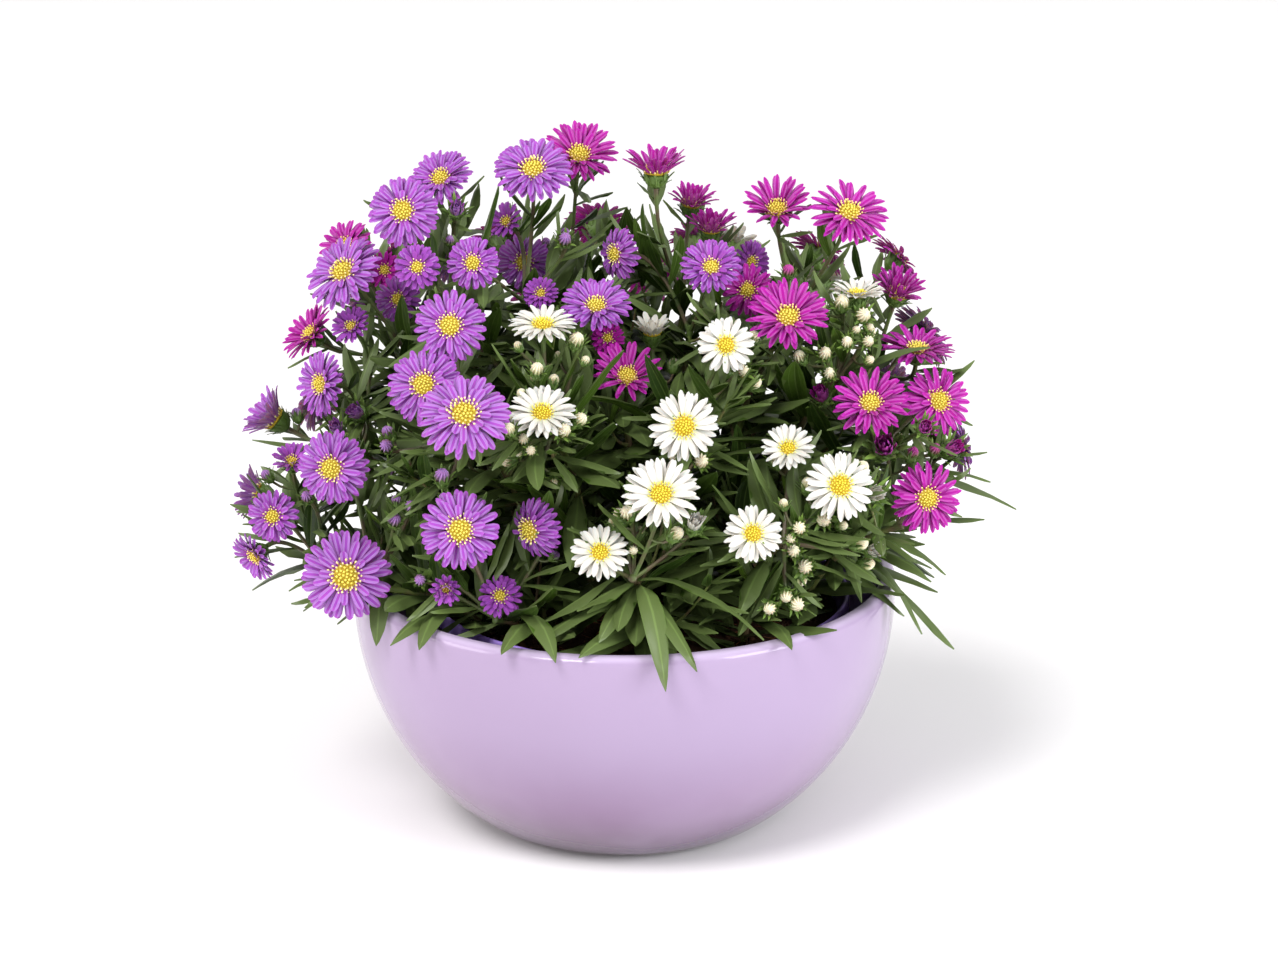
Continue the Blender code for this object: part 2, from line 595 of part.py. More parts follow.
def stalk_rings(start, end, axis, points):
    """Rings of a stalk, from the back of a head down to the fork. Returns the index of each."""
    length = (end - start).length
    bend = end - axis * length * STALK_BEND
    rings = []
    way = axis
    side, over = across(axis)
    for t in STALK_STATIONS:
        place = start * (1 - t) ** 2 + bend * 2 * t * (1 - t) + end * t * t
        new_way = ((bend - start) * (1 - t) + (end - bend) * t).normalized()
        turn = way.rotation_difference(new_way)
        side, over, way = turn @ side, turn @ over, new_way
        rings.append(ring_round(place, side, over, STALK_RADIUS, STALK_SIDES, points))
    return rings


def cap(first, sides):
    return [(first, first + i, first + i + 1) for i in range(1, sides - 1)]


def petal_outline(head, petals):
    """Two points for each petal, in turn and all the way round: the notch before it and its tip."""
    side, over = across(head.axis)
    found = []
    for i in range(petals):
        layer = i % 2
        notch = (i, head.reach * NOTCH_SHARE, NOTCH_RISE)
        tip = (i + 0.5, head.reach * LAYER_REACHES[layer], LAYER_RISES[layer])
        for step, reach, rise in (notch, tip):
            a = 2 * math.pi * step / petals - PETAL_TURN
            rise += head.cup
            outward = side * math.cos(a) + over * math.sin(a)
            found.append(head.centre + outward * reach * math.cos(rise) + head.axis * reach * math.sin(rise))
    return found


def head_mesh(head, fork):
    """A flower head: domed disc, petals in two layers round it, green cup below, and stalk to the fork."""
    side, over = across(head.axis)
    drawn_in = head.reach * math.cos(head.cup)
    points = petal_outline(head, PETALS_LARGE if head.reach >= LARGE_HEAD else PETALS_SMALL)
    count = len(points)
    disc = ring_round(
        head.centre + head.axis * DISC_EDGE, side, over, drawn_in * DISC_SHARE, DISC_SIDES, points)
    top = len(points)
    points.append(head.centre + head.axis * (DISC_EDGE + head.reach * DISC_HEIGHT))
    under = ring_round(
        head.centre - head.axis * UNDER_DEPTH, side, over, drawn_in * UNDER_SHARE, DISC_SIDES, points)
    rings = stalk_rings(fork, head_back(head), head.axis, points)
    above = [(disc + i, disc + (i + 1) % DISC_SIDES, top) for i in range(DISC_SIDES)]
    above += between(0, count, disc, DISC_SIDES)
    below = between(0, count, under, DISC_SIDES)
    below += between(under, DISC_SIDES, rings[0], STALK_SIDES)
    below += loft(rings, STALK_SIDES)
    return mesh_of("head", points, above + flipped(below) + cap(rings[-1], STALK_SIDES))


def bud_mesh(bud, fork):
    """A closed bud on its stalk: a spindle with its widest ring near the middle."""
    side, over = across(bud.axis)
    points = [bud.centre + bud.axis * bud.reach * BUD_TIP]
    rings = [ring_round(bud.centre, side, over, bud.reach * BUD_WIDTH, STALK_SIDES, points)]
    rings += stalk_rings(fork, bud.centre - bud.axis * bud.reach * BUD_BACK, bud.axis, points)
    above = [(0, rings[0] + i, rings[0] + (i + 1) % STALK_SIDES) for i in range(STALK_SIDES)]
    return mesh_of("bud", points, above + flipped(loft(rings, STALK_SIDES)) + cap(rings[-1], STALK_SIDES))


def outward_facing(mesh):
    """Turns a closed mesh's faces outwards."""
    shape = bmesh.new()
    shape.from_mesh(mesh)
    bmesh.ops.recalc_face_normals(shape, faces=shape.faces)
    if shape.calc_volume(signed=True) < 0:
        bmesh.ops.reverse_faces(shape, faces=shape.faces)
    shape.to_mesh(mesh)
    shape.free()
    return mesh


def joined(name, meshes, collection, finish):
    """One body from overlapping closed meshes."""
    base = object_of(name, meshes[0], collection, finish)
    if len(meshes) == 1:
        return base
    others = new_collection(name + "_pieces")
    for i, mesh in enumerate(meshes[1:]):
        object_of(f"{name}_piece_{i}", mesh, others)
    union = base.modifiers.new("Join", "BOOLEAN")
    union.operation = "UNION"
    union.operand_type = "COLLECTION"
    union.collection = others
    union.solver = "MANIFOLD"
    whole = evaluated_mesh(base)
    base.modifiers.clear()
    base.data = whole
    for obj in list(others.objects):
        bpy.data.objects.remove(obj)
    bpy.data.collections.remove(others)
    return base


def spray_meshes(stem):
    """The heads and buds that stand on a stem's fork, each with its stalk, and the fork's own short stub."""
    line = stem_line(stem)
    fork = line[-1]
    aim = (line[-1] - line[-2]).normalized()
    foot = fork + aim * GAP
    meshes = []
    points = []
    side, over = across(aim)
    rings = [ring_round(foot, side, over, STEM_TOP_RADIUS, FORK_SIDES, points),
             ring_round(foot + aim * FORK_LENGTH, side, over, FORK_RADIUS, FORK_SIDES, points)]
    ends = flipped(cap(rings[0], FORK_SIDES)) + cap(rings[1], FORK_SIDES)
    meshes.append(mesh_of("stub", points, loft(rings, FORK_SIDES) + ends))
    for make, flowers in ((head_mesh, stem.heads), (bud_mesh, stem.buds)):
        for flower in flowers:
            outward = flower.centre - foot
            outward = (outward - aim * outward.dot(aim)).normalized()
            meshes.append(make(flower, foot + aim * FORK_LENGTH * 0.5 + outward * STALK_RADIUS))
    return [outward_facing(mesh) for mesh in meshes]


class Obstacles:
    """What is already placed, to test new leaves against."""

    def __init__(self):
        self.placed = []

    def add(self, points, faces):
        low = Vector(min(p[i] for p in points) for i in range(3))
        high = Vector(max(p[i] for p in points) for i in range(3))
        self.placed.append((low, high, BVHTree.FromPolygons(points, faces)))

    def add_mesh(self, mesh, place=Vector()):
        self.add([v.co + place for v in mesh.vertices], [tuple(f.vertices) for f in mesh.polygons])

    def meets(self, points, faces, but):
        low = [min(p[i] for p in points) for i in range(3)]
        high = [max(p[i] for p in points) for i in range(3)]
        tree = None
        for number, (other_low, other_high, other) in enumerate(self.placed):
            if number == but or any(low[i] > other_high[i] or high[i] < other_low[i] for i in range(3)):
                continue
            tree = tree or BVHTree.FromPolygons(points, faces)
            if tree.overlap(other):
                return True
        return False


def line_point(line, share):
    """A point part of the way along a polyline, and the way it runs there."""
    place = share * (len(line) - 1)
    i = min(int(place), len(line) - 2)
    return line[i].lerp(line[i + 1], place - i), (line[i + 1] - line[i]).normalized()


def leaf_rib(base, way, outward, length, spread, droop):
    """Points along a leaf's midrib, from inside the stem to the tip."""
    start = way * math.cos(spread) + outward * math.sin(spread)
    rib = []
    for share in LEAF_STATIONS:
        rib.append(base + start * length * share + Vector((0, 0, -1)) * length * droop * share * share)
    return rib


def leaf_shape(rib, width, shift=0.0):
    """A thin blade with a keel under its rib: pointed at both ends and widest past the middle.

    A shifted blade lies that far above or below, and is that much wider, to test for room.
    """
    points = [rib[0]]
    rings = []
    side = -across((rib[3] - rib[0]).normalized())[0]
    for i, share in zip((1, 2), LEAF_WIDTHS):
        over = side.cross(rib[i + 1] - rib[i - 1]).normalized()
        half = width * share / 2 + abs(shift)
        middle = rib[i] + over * shift
        rings.append(len(points))
        points += [middle + side * half, middle - side * half, middle - over * LEAF_THICKNESS]
    points.append(rib[3])
    tip = len(points) - 1
    faces = [(0, rings[0] + i, rings[0] + (i + 1) % 3) for i in range(3)]
    faces += loft(rings, 3)
    faces += [(rings[1] + i, tip, rings[1] + (i + 1) % 3) for i in range(3)]
    return points, faces


def shown_leaf_places(stem):
    """A stem's leaves that stand out in the front view, with the ways to try each."""
    line = stem_line(stem)
    for name, share, across_px, down_px, depth_mm, droop, width_mm in SHOWN_LEAVES:
        if name != stem.name:
            continue
        tries = []
        for deeper, lower, more in SHOWN_TRIES:
            base = line_point(line, share + lower)[0]
            reach = sight(across_px, down_px, (depth_mm + deeper) * MM) - base
            fall = Vector((0, 0, reach.length * (droop + more)))
            rib = [base + (reach + fall) * s - fall * s * s for s in LEAF_STATIONS]
            tries.append((rib, width_mm * MM))
        yield tries


def leaf_places(stem, number):
    """Each other leaf of a stem, with the ways to try it: (rib, width) in turn."""
    line = stem_line(stem)
    length = sum((b - a).length for a, b in zip(line, line[1:]))
    count = max(3, round(length / LEAF_SPACING))
    bare = (STEM_HOLE_DEPTH + 0.004) / length
    for k in range(count):
        draw = random.Random(number * 101 + k)
        share = bare + LOWEST_LEAF + (0.96 - bare - LOWEST_LEAF) * k / (count - 1)
        base, way = line_point(line, share)
        long = LEAF_LENGTHS[0] + (LEAF_LENGTHS[1] - LEAF_LENGTHS[0]) * share
        long *= draw.uniform(0.85, 1.12)
        spread = math.radians(draw.uniform(50, 72) - 14 * share)
        droop = draw.uniform(0.10, 0.42) * (1.15 - 0.7 * share)
        angle = GOLDEN_ANGLE * k + number * 1.3 + draw.uniform(-0.3, 0.3)
        tries = []
        for turn, shorter in LEAF_TRIES:
            side, over = across(way)
            a = angle + math.radians(turn)
            outward = side * math.cos(a) + over * math.sin(a)
            rib = leaf_rib(base, way, outward, long * shorter, spread, droop)
            tries.append((rib, long * shorter * LEAF_WIDTH_SHARE))
        yield tries


def build():
    clear_scene()
    parts = new_collection("potted_asters")
    cutters = new_collection("cutters")
    obstacles = Obstacles()

    bowl = turned("bowl", bowl_profile(), BOWL_SIDES, parts, "glaze")
    pot = turned("nursery_pot", pot_profile(), POT_SIDES, parts, "pot", (POT_X, POT_Y))
    drain_holes(pot, cutters)
    plug = compost(parts, cutters)
    bpy.context.view_layer.update()
    for obj in (bowl, pot, plug):
        obstacles.add_mesh(evaluated_mesh(obj), obj.location)

    stem_meshes = {}
    own_tubes = {}
    for stem in STEMS:
        pieces = spray_meshes(stem)
        for mesh in pieces:
            obstacles.add_mesh(mesh)
        joined(stem.name + "_spray", pieces, parts, stem.colour)
        tube = stem_body(stem, parts)
        own_tubes[stem.name] = len(obstacles.placed)
        obstacles.add_mesh(tube)
        stem_meshes[stem.name] = [tube]

    places = [(stem, tries) for stem in STEMS for tries in shown_leaf_places(stem)]
    places += [(stem, tries) for number, stem in enumerate(STEMS) for tries in leaf_places(stem, number)]
    for stem, tries in places:
        for rib, width in tries:
            room = [leaf_shape(rib, width, shift) for shift in (0, LEAF_CLEARANCE, -LEAF_CLEARANCE)]
            if any(obstacles.meets(*blade, own_tubes[stem.name]) for blade in room):
                continue
            points, faces = leaf_shape(rib, width)
            obstacles.add(points, faces)
            stem_meshes[stem.name].append(outward_facing(mesh_of("leaf", points, faces)))
            break
    for stem in STEMS:
        joined(stem.name + "_stem", stem_meshes[stem.name], parts, "leaf")


build()
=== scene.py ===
# %% [markdown]
# # Potted asters
# Three asters, violet, magenta and white, fill one nursery pot, which stands in a glazed bowl. The
# solids give the bowl and every stem, spray and large leaf in their places. Here each coarse solid is
# replaced by a finer piece that keeps its form. Everything is in metres and +Z is up.

# %% Load the frame
import itertools
import math
import random
from collections import namedtuple

import bmesh
import bpy
import numpy as np
from mathutils import Matrix, Vector, noise
from mathutils.bvhtree import BVHTree
from mathutils.kdtree import KDTree


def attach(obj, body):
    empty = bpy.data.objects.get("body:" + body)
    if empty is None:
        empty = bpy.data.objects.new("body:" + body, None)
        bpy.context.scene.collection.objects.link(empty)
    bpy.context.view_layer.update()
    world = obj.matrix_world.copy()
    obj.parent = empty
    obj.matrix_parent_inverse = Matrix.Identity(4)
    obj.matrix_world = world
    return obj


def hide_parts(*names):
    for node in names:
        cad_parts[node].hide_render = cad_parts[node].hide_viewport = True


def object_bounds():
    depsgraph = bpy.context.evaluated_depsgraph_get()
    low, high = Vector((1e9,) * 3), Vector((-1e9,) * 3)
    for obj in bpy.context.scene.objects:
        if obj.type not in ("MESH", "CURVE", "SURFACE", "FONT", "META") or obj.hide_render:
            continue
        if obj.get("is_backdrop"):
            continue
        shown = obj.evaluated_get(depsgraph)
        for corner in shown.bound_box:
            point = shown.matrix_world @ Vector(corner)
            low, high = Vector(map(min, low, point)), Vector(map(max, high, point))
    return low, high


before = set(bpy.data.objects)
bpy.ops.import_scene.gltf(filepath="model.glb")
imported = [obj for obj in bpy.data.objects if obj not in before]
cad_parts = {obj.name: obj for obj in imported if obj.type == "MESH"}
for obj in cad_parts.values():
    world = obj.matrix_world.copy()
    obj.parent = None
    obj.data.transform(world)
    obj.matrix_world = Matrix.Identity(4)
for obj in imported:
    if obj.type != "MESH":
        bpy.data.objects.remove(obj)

MM = 0.001
TURN = 2 * math.pi
GOLDEN_ANGLE = math.radians(137.5)
UP = Vector((0, 0, 1))
COLOURS = ("violet", "magenta", "white")
cad_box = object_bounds()
print("solids:", len(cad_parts), "box:", [tuple(round(c, 3) for c in corner) for corner in cad_box])

# %% [markdown]
# ## Where the picture is taken from
# The front view looks down by about 17 degrees. The same eye serves twice: the camera stands there,
# and a flower head is placed by where the eye sees it and by how deep it lies. A long lens keeps the
# bowl's sides from leaning, as in a picture of a product.

# %% The eye and the camera
EYE = Vector((0.0065, -1.2, 0.5223))
EYE_PITCH = math.radians(17.14)
EYE_FOCAL_PX = 2856
PICTURE_WIDTH_PX, PICTURE_MIDDLE_PX = 1278, (639, 479.5)
SENSOR_MM = 36


def placed(name, data):
    """A new object in the scene."""
    obj = bpy.data.objects.new(name, data)
    bpy.context.scene.collection.objects.link(obj)
    return obj


def sight(across_px, down_px, depth):
    """The point at that depth (Y) which the eye sees at this place in its picture."""
    right = (across_px - PICTURE_MIDDLE_PX[0]) / EYE_FOCAL_PX
    up = (PICTURE_MIDDLE_PX[1] - down_px) / EYE_FOCAL_PX
    sin, cos = math.sin(EYE_PITCH), math.cos(EYE_PITCH)
    ray = Vector((right, cos + up * sin, up * cos - sin))
    return EYE + ray * ((depth - EYE.y) / ray.y)


camera = placed("camera", bpy.data.cameras.new("camera"))
camera.data.sensor_width = SENSOR_MM
camera.data.lens = EYE_FOCAL_PX * SENSOR_MM / PICTURE_WIDTH_PX
camera.location = EYE
camera.rotation_euler = (math.pi / 2 - EYE_PITCH, 0, 0)
bpy.context.scene.camera = camera
print("lens in mm:", round(camera.data.lens, 1))

# %% [markdown]
# ## The plants' layout
# Each stem has a root in the compost, and the heads and buds of its spray. A head or bud in front is
# given by its place and reach in the front view, its depth in millimetres, the way it looks (a turn to
# the viewer's right and a rise above level) and how far it is cupped, all three in degrees. The heads
# at the back, which the front view hides, are given by their own places and reaches in millimetres.

# %% Heads and stems
Head = namedtuple("Head", "centre axis reach cup")
Stem = namedtuple("Stem", "number name colour root heads buds")


def head_at(centre, reach, turn, rise, cup=0):
    turn, rise = math.radians(turn), math.radians(rise)
    axis = Vector((math.sin(turn) * math.cos(rise), -math.cos(turn) * math.cos(rise), math.sin(rise)))
    return Head(centre, axis, reach, math.radians(cup))


def seen(across_px, down_px, depth_mm, reach_px, *ways):
    centre = sight(across_px, down_px, depth_mm * MM)
    return head_at(centre, reach_px * ((centre - EYE).length / EYE_FOCAL_PX), *ways)


def behind(x_mm, y_mm, z_mm, reach_mm, *ways):
    return head_at(Vector((x_mm, y_mm, z_mm)) * MM, reach_mm * MM, *ways)


# Name, root, heads in front, buds in front, heads at the back
LAYOUT = (
    ("violet_low_left", (-54, -16), (
        (261, 495, -4, 34, -105, 5, 38), (273, 516, -46, 27, -5, 12, 6),
        (256, 555, -34, 28, -42, -22, 16), (292, 462, -38, 22, 0, 60, 30)), (
        (308, 498, -50, 7, -20, 40),), ()),
    ("violet_left", (-56, 6), (
        (276, 420, 5, 38, -80, 38, 42), (322, 384, -28, 34, -48, 12, 10), (352, 327, -6, 22, -30, 45, 20)), (
        (358, 413, -30, 11, -20, 30), (337, 429, -34, 10, -10, 40), (388, 470, -40, 8, 10, 30)), ()),
    ("violet_left_front", (-52, -44), (
        (332, 468, -64, 39, -15, 8, 0), (346, 576, -74, 47, 0, 12, 0)), (
        (394, 522, -68, 8, 10, 50), (410, 509, -66, 8, 20, 50)), ()),
    ("violet_shoulder", (-42, 22), ((344, 272, -6, 42, -35, 42, 5), (398, 299, 16, 24, 0, 10, 5)), (), ()),
    ("violet_crown_left", (-30, 4), (
        (403, 211, -14, 37, -5, 25, 0), (441, 179, 14, 34, -26, 46, 12), (417, 267, -26, 24, 0, 15, 8)), (
        (456, 211, -5, 10, 10, 40),), ()),
    ("violet_crown", (-14, 14), (
        (533, 170, 4, 41, 0, 52, 8), (473, 263, -24, 28, -5, 20, 0), (507, 222, 24, 21, -30, 35, 25)), (
        (565, 241, 0, 8, 0, 40),), ()),
    ("violet_front_left", (-34, -30), (
        (450, 326, -62, 38, 0, 22, 0), (424, 385, -74, 40, -8, 28, 0), (464, 415, -104, 48, 0, 44, 4)), (
        (387, 447, -60, 8, -10, 30), (442, 479, -80, 9, 0, 60)), ()),
    ("violet_low", (-30, -60), (
        (460, 530, -100, 42, 5, 15, 0), (446, 588, -86, 20, 0, 0, 35), (500, 596, -82, 23, 0, 30, 0),
        (530, 530, -86, 34, -42, 0, -18)), ((421, 580, -84, 7, -10, 20),), ()),
    ("violet_centre", (-8, -8), (
        (596, 307, -28, 37, 3, 59, 14), (541, 294, -10, 19, -10, 40, 15),
        (524, 262, 38, 29, 0, 10, 0)), (), ()),
    ("violet_right_centre", (22, 6), (
        (616, 254, 4, 28, -50, 5, -8), (711, 268, -18, 32, 0, 42, 16),
        (750, 262, 36, 23, 35, 10, 10)), (), ()),
    ("magenta_left", (-50, 30), (
        (312, 335, 26, 34, -60, 40, 20), (346, 246, 32, 30, -30, 40, 10),
        (385, 270, 40, 20, -10, 20, 10)), (), (
        (-104, 66, 238, 15, -130, 35, 0),)),
    ("magenta_top", (-6, 34), ((579, 156, 30, 41, 8, 53, 17),), (), (
        (-56, 64, 246, 15, 190, 40, 0), (-12, 84, 248, 17, 175, 35, 0))),
    ("magenta_top_right", (20, 30), (
        (656, 173, 6, 41, 0, 86, 35), (691, 205, 42, 31, 25, 74, 35), (711, 231, 22, 31, 10, 78, 36)), (), (
        (34, 80, 242, 15, 170, 40, 0),)),
    ("magenta_shoulder", (46, 16), ((777, 210, 4, 38, -5, 51, 30), (849, 213, -8, 42, 12, 52, 6)), (), (
        (88, 66, 240, 15, 130, 40, 0),)),
    ("magenta_mid", (42, -10), ((788, 318, -50, 44, 0, 47, 18), (748, 290, 8, 28, -10, 20, 5)), (
        (788, 273, -20, 7, 0, 60),), ()),
    ("magenta_right_high", (64, 22), ((897, 294, 12, 35, 25, 62, 35), (917, 351, -10, 40, 10, 78, 14)), (), (
        (122, 48, 240, 15, 110, 35, 0),)),
    ("magenta_right", (70, -4), ((870, 404, -54, 41, 0, 46, 15), (938, 401, -32, 37, 20, 22, 0)), (
        (822, 396, -40, 12, -20, 40), (924, 428, -58, 10, 10, 30)), ()),
    ("magenta_right_low", (72, -30), ((927, 498, -56, 38, 12, 12, 0),), (
        (951, 450, -36, 12, 30, 30), (885, 447, -52, 16, -10, 30)), ()),
    ("magenta_centre", (8, -22), ((627, 377, -44, 39, 0, 50, 27), (608, 338, -30, 18, 0, 20, 0)), (), ()),
    ("white_left", (-12, -40), ((543, 326, -62, 35, 0, 75, 9), (542, 414, -84, 36, 5, 58, 11)), (
        (576, 343, -62, 9, 10, 60), (537, 372, -74, 8, 0, 60), (524, 440, -84, 7, -10, 30),
        (537, 474, -80, 7, 0, 30), (510, 431, -92, 8, -20, 40), (562, 431, -88, 9, 20, 30)), ()),
    ("white_centre", (28, -36), (
        (684, 426, -92, 37, 5, 15, 0), (726, 345, -64, 30, 0, 20, 0), (652, 334, -16, 28, 0, 80, 38)), (
        (742, 371, -60, 8, 10, 20), (700, 461, -84, 9, 10, 20)), ()),
    ("white_front", (10, -62), ((661, 495, -110, 41, 0, 45, 14), (600, 553, -96, 31, 0, 42, 4)), (
        (694, 525, -100, 12, 20, 45), (628, 515, -92, 9, -20, 45), (632, 550, -92, 6, 20, 20)), ()),
    ("white_right", (50, -58), (
        (753, 534, -104, 31, 0, 34, 4), (840, 486, -90, 37, 8, 28, 0), (788, 449, -74, 28, -5, 50, 15)), (
        (824, 518, -84, 9, 0, 0), (806, 566, -84, 9, -10, 10), (872, 494, -76, 11, 30, 20),
        (872, 550, -72, 10, 30, 20), (795, 603, -92, 9, 20, 10), (799, 528, -98, 8, 0, 20)), ()),
    ("white_high", (58, -22), ((857, 296, -30, 30, 5, 86, 20),), (
        (842, 305, -36, 9, -10, 50), (862, 316, -40, 9, 10, 30), (825, 355, -44, 8, -10, 40),
        (867, 342, -42, 7, 10, 30)), ()),
    ("violet_back_left", (-36, 42), (), (), (
        (-138, 50, 176, 17, -125, 20, 0), (-113, 80, 220, 18, -140, 30, 0),
        (-92, 104, 168, 15, -160, 15, 0), (-78, 86, 232, 16, -160, 40, 0))),
    ("magenta_back", (-2, 54), (), (), (
        (-38, 118, 206, 18, -170, 20, 0), (12, 124, 216, 18, 178, 28, 0),
        (-6, 128, 168, 15, 180, 10, 0), (-50, 112, 152, 12, -165, 5, 10))),
    ("white_back", (38, 48), (), (), (
        (50, 110, 232, 17, 165, 40, 0), (58, 124, 196, 17, 160, 20, 0),
        (34, 128, 158, 13, 170, 5, 0), (92, 96, 220, 15, 145, 30, 0))),
    ("violet_back_right", (58, 34), (), (), (
        (134, 40, 208, 17, 120, 30, 0), (122, 74, 176, 17, 135, 15, 0),
        (150, 22, 160, 15, 100, 10, 0), (92, 104, 152, 14, 150, 5, 0))),
)
STEMS = [
    Stem(number, name, name.split("_")[0], root,
         [*(seen(*row) for row in front), *(behind(*row) for row in back)], [seen(*row) for row in buds])
    for number, (name, root, front, buds, back) in enumerate(LAYOUT)]
print("stems:", len(STEMS), "heads:", sum(len(stem.heads) for stem in STEMS),
      "buds:", sum(len(stem.buds) for stem in STEMS))

# %% [markdown]
# ## Stems, forks and stalks as lines
# A stem rises from its hole in the compost, leans, and ends in a fork under its heads. From the fork
# a stalk bends to the back of each head. These lines are the ones that the solids were made along, so
# that every leaf and stalk here lies in its solid.

# %% Lines of growth
POT_X, POT_Y, POT_RIM_RADIUS = 0.007, -0.010, 0.092
SOIL_EDGE_Z, SOIL_CROWN, SOIL_LUMP = 0.096, 0.005, 0.0016
STEM_HOLE_DEPTH, STEM_LEAN, STEM_RISE = 0.014, 0.18, 0.80
FORK_SHARE, FORK_BELOW, FORK_LENGTH, SHORTEST_STEM = 0.80, 0.009, 0.004, 0.026
CUP_DEPTH, BUD_BACK = 0.0068, 1.2
STALK_BEND, STALK_RADIUS = 0.4, 0.0009
GAP = 0.0003
LEVEL_ENOUGH = 0.05


def across(direction):
    """Two unit vectors at right angles to direction and to each other."""
    level = UP.cross(direction)
    if level.length < LEVEL_ENOUGH:
        level = Vector((1, 0, 0)).cross(direction)
    level.normalize()
    return level, direction.cross(level).normalized()


def toward(first, second, angle):
    """The direction at an angle from first, towards second."""
    return first * math.cos(angle) + second * math.sin(angle)


def shares_of(count):
    """Even steps from 0 to 1."""
    return [i / (count - 1) for i in range(count)]


def from_pot_middle(x, y):
    """How far out a place in the pot lies, as a share of its rim's radius."""
    return math.hypot(x - POT_X, y - POT_Y) / POT_RIM_RADIUS


def soil_height(x, y):
    out = from_pot_middle(x, y)
    lumps = math.sin(x * 190 + 1) * math.cos(y * 160 + 2) + math.sin((x + y) * 310) * 0.5
    return SOIL_EDGE_Z + SOIL_CROWN * (1 - out**2) + SOIL_LUMP * lumps * (1 - out**6)


def head_back(head):
    return head.centre - head.axis * CUP_DEPTH


def bud_back(bud):
    return bud.centre - bud.axis * bud.reach * BUD_BACK


def root_point(stem):
    x, y = stem.root[0] * MM, stem.root[1] * MM
    return Vector((x, y, soil_height(x, y) - STEM_HOLE_DEPTH))


def fork_point(stem):
    backs = [head_back(head) for head in stem.heads]
    root = root_point(stem)
    fork = root.lerp(sum(backs, Vector()) / len(backs), FORK_SHARE)
    fork.z = max(min(fork.z, min(back.z for back in backs) - FORK_BELOW), root.z + SHORTEST_STEM)
    return fork


def bent(start, bend, end, shares):
    """Points of a curve that leaves start towards bend and comes to end from there."""
    return [start * (1 - t) ** 2 + bend * 2 * t * (1 - t) + end * t * t for t in shares]


def stem_line(stem, count=5):
    root, fork = root_point(stem), fork_point(stem)
    bend = root.lerp(fork, STEM_LEAN)
    bend.z = root.z + (fork.z - root.z) * STEM_RISE
    return bent(root, bend, fork, shares_of(count))


def stalk_line(stem, flower, back, count):
    """The line of a stalk from its stem's fork to the back of a head or bud."""
    line = stem_line(stem)
    aim = (line[-1] - line[-2]).normalized()
    foot = line[-1] + aim * GAP
    outward = flower.centre - foot
    outward = (outward - aim * outward.dot(aim)).normalized()
    start = foot + aim * FORK_LENGTH * 0.5 + outward * STALK_RADIUS
    bend = back - flower.axis * (back - start).length * STALK_BEND
    return bent(start, bend, back, shares_of(count))


def line_point(line, share):
    """A point part of the way along a row of points, and the way it runs there."""
    place = share * (len(line) - 1)
    i = min(int(place), len(line) - 2)
    return line[i].lerp(line[i + 1], place - i), (line[i + 1] - line[i]).normalized()


def line_length(line):
    return sum((b - a).length for a, b in zip(line, line[1:]))


print("tallest fork in mm:", round(max(fork_point(stem).z for stem in STEMS) / MM))

# %% [markdown]
# ## One way to skin everything that grew
# Petals, leaves, bracts, stalks and the tiny flowers of a disc are all skins over a row of rings. A
# collector takes the rings and keeps three numbers at each point: how far along the shape it lies, how
# far across, and a tone of its own for each leaf or petal. The shaders read those, so one material can
# give every petal its own shade. Solidify and curve bevels could do some of these, but they give no
# such numbers, and thousands of separate objects would be slow.

# %% The collector
def mesh_object(name, points, edges, faces):
    mesh = bpy.data.meshes.new(name)
    mesh.from_pydata(points, edges, faces)
    return placed(name, mesh)


def smooth(mesh, finish, sharp_deg):
    """Gives a mesh its finish, smooth but for edges sharper than the angle given."""
    mesh.shade_smooth()
    mesh.set_sharp_from_angle(angle=math.radians(sharp_deg))
    mesh.materials.append(finish.material)


def settle(piece, slot, *nodes):
    """Makes a piece ride with the part and stand for its solids."""
    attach(piece, "root")
    if nodes:
        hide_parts(*nodes)


class Growth:
    """Collects closed lofts for one piece, with along, across and tone at each point."""

    def __init__(self):
        self.points, self.marks, self.faces, self.count = [], [], [], 0

    def loft(self, rings, across_, tone, along=None):
        """Skins rings shaped (stations, sides, 3) that turn right-handed about the way they run."""
        rings = np.asarray(rings)
        stations, sides = rings.shape[:2]
        index = self.count + np.arange(stations * sides).reshape(stations, sides)
        here, ahead = index[:-1], index[1:]
        quads = np.stack([here, np.roll(here, -1, 1), np.roll(ahead, -1, 1), ahead], -1)
        self.faces += quads.reshape(-1, 4).tolist()
        self.faces += [index[0, ::-1].tolist(), index[-1].tolist()]
        marks = np.empty((stations, sides, 3))
        marks[..., 0] = np.reshape(np.linspace(0, 1, stations) if along is None else along, (-1, 1))
        marks[..., 1] = across_
        marks[..., 2] = tone
        self.points.append(rings.reshape(-1, 3))
        self.marks.append(marks.reshape(-1, 3))
        self.count += stations * sides

    def piece(self, name, finish, sharp_deg, slot, *nodes):
        """Makes the object and settles it."""
        obj = mesh_object(name, np.concatenate(self.points), [], self.faces)
        marks = np.concatenate(self.marks)
        for column, mark in enumerate(("along", "across", "tone")):
            obj.data.attributes.new(mark, "FLOAT", "POINT").data.foreach_set("value", marks[:, column])
        smooth(obj.data, finish, sharp_deg)
        settle(obj, slot, *nodes)
        print(name, "triangles:", sum(len(face) - 2 for face in self.faces))


def unit(vectors):
    return vectors / np.linalg.norm(vectors, axis=-1, keepdims=True)


# %% [markdown]
# A blade is a flat shape along a spine: a petal, a leaf or a bract. Its section says how the blade is
# folded: where each point lies across (1 is the left edge and -1 the right one), how far it is lifted
# as a share of the half width, how much of the thickness lies above it, and its mark for the shaders:
# 0 on the midrib, 1 on both edges and 2 in the middle of the underside, which is duller than the top.

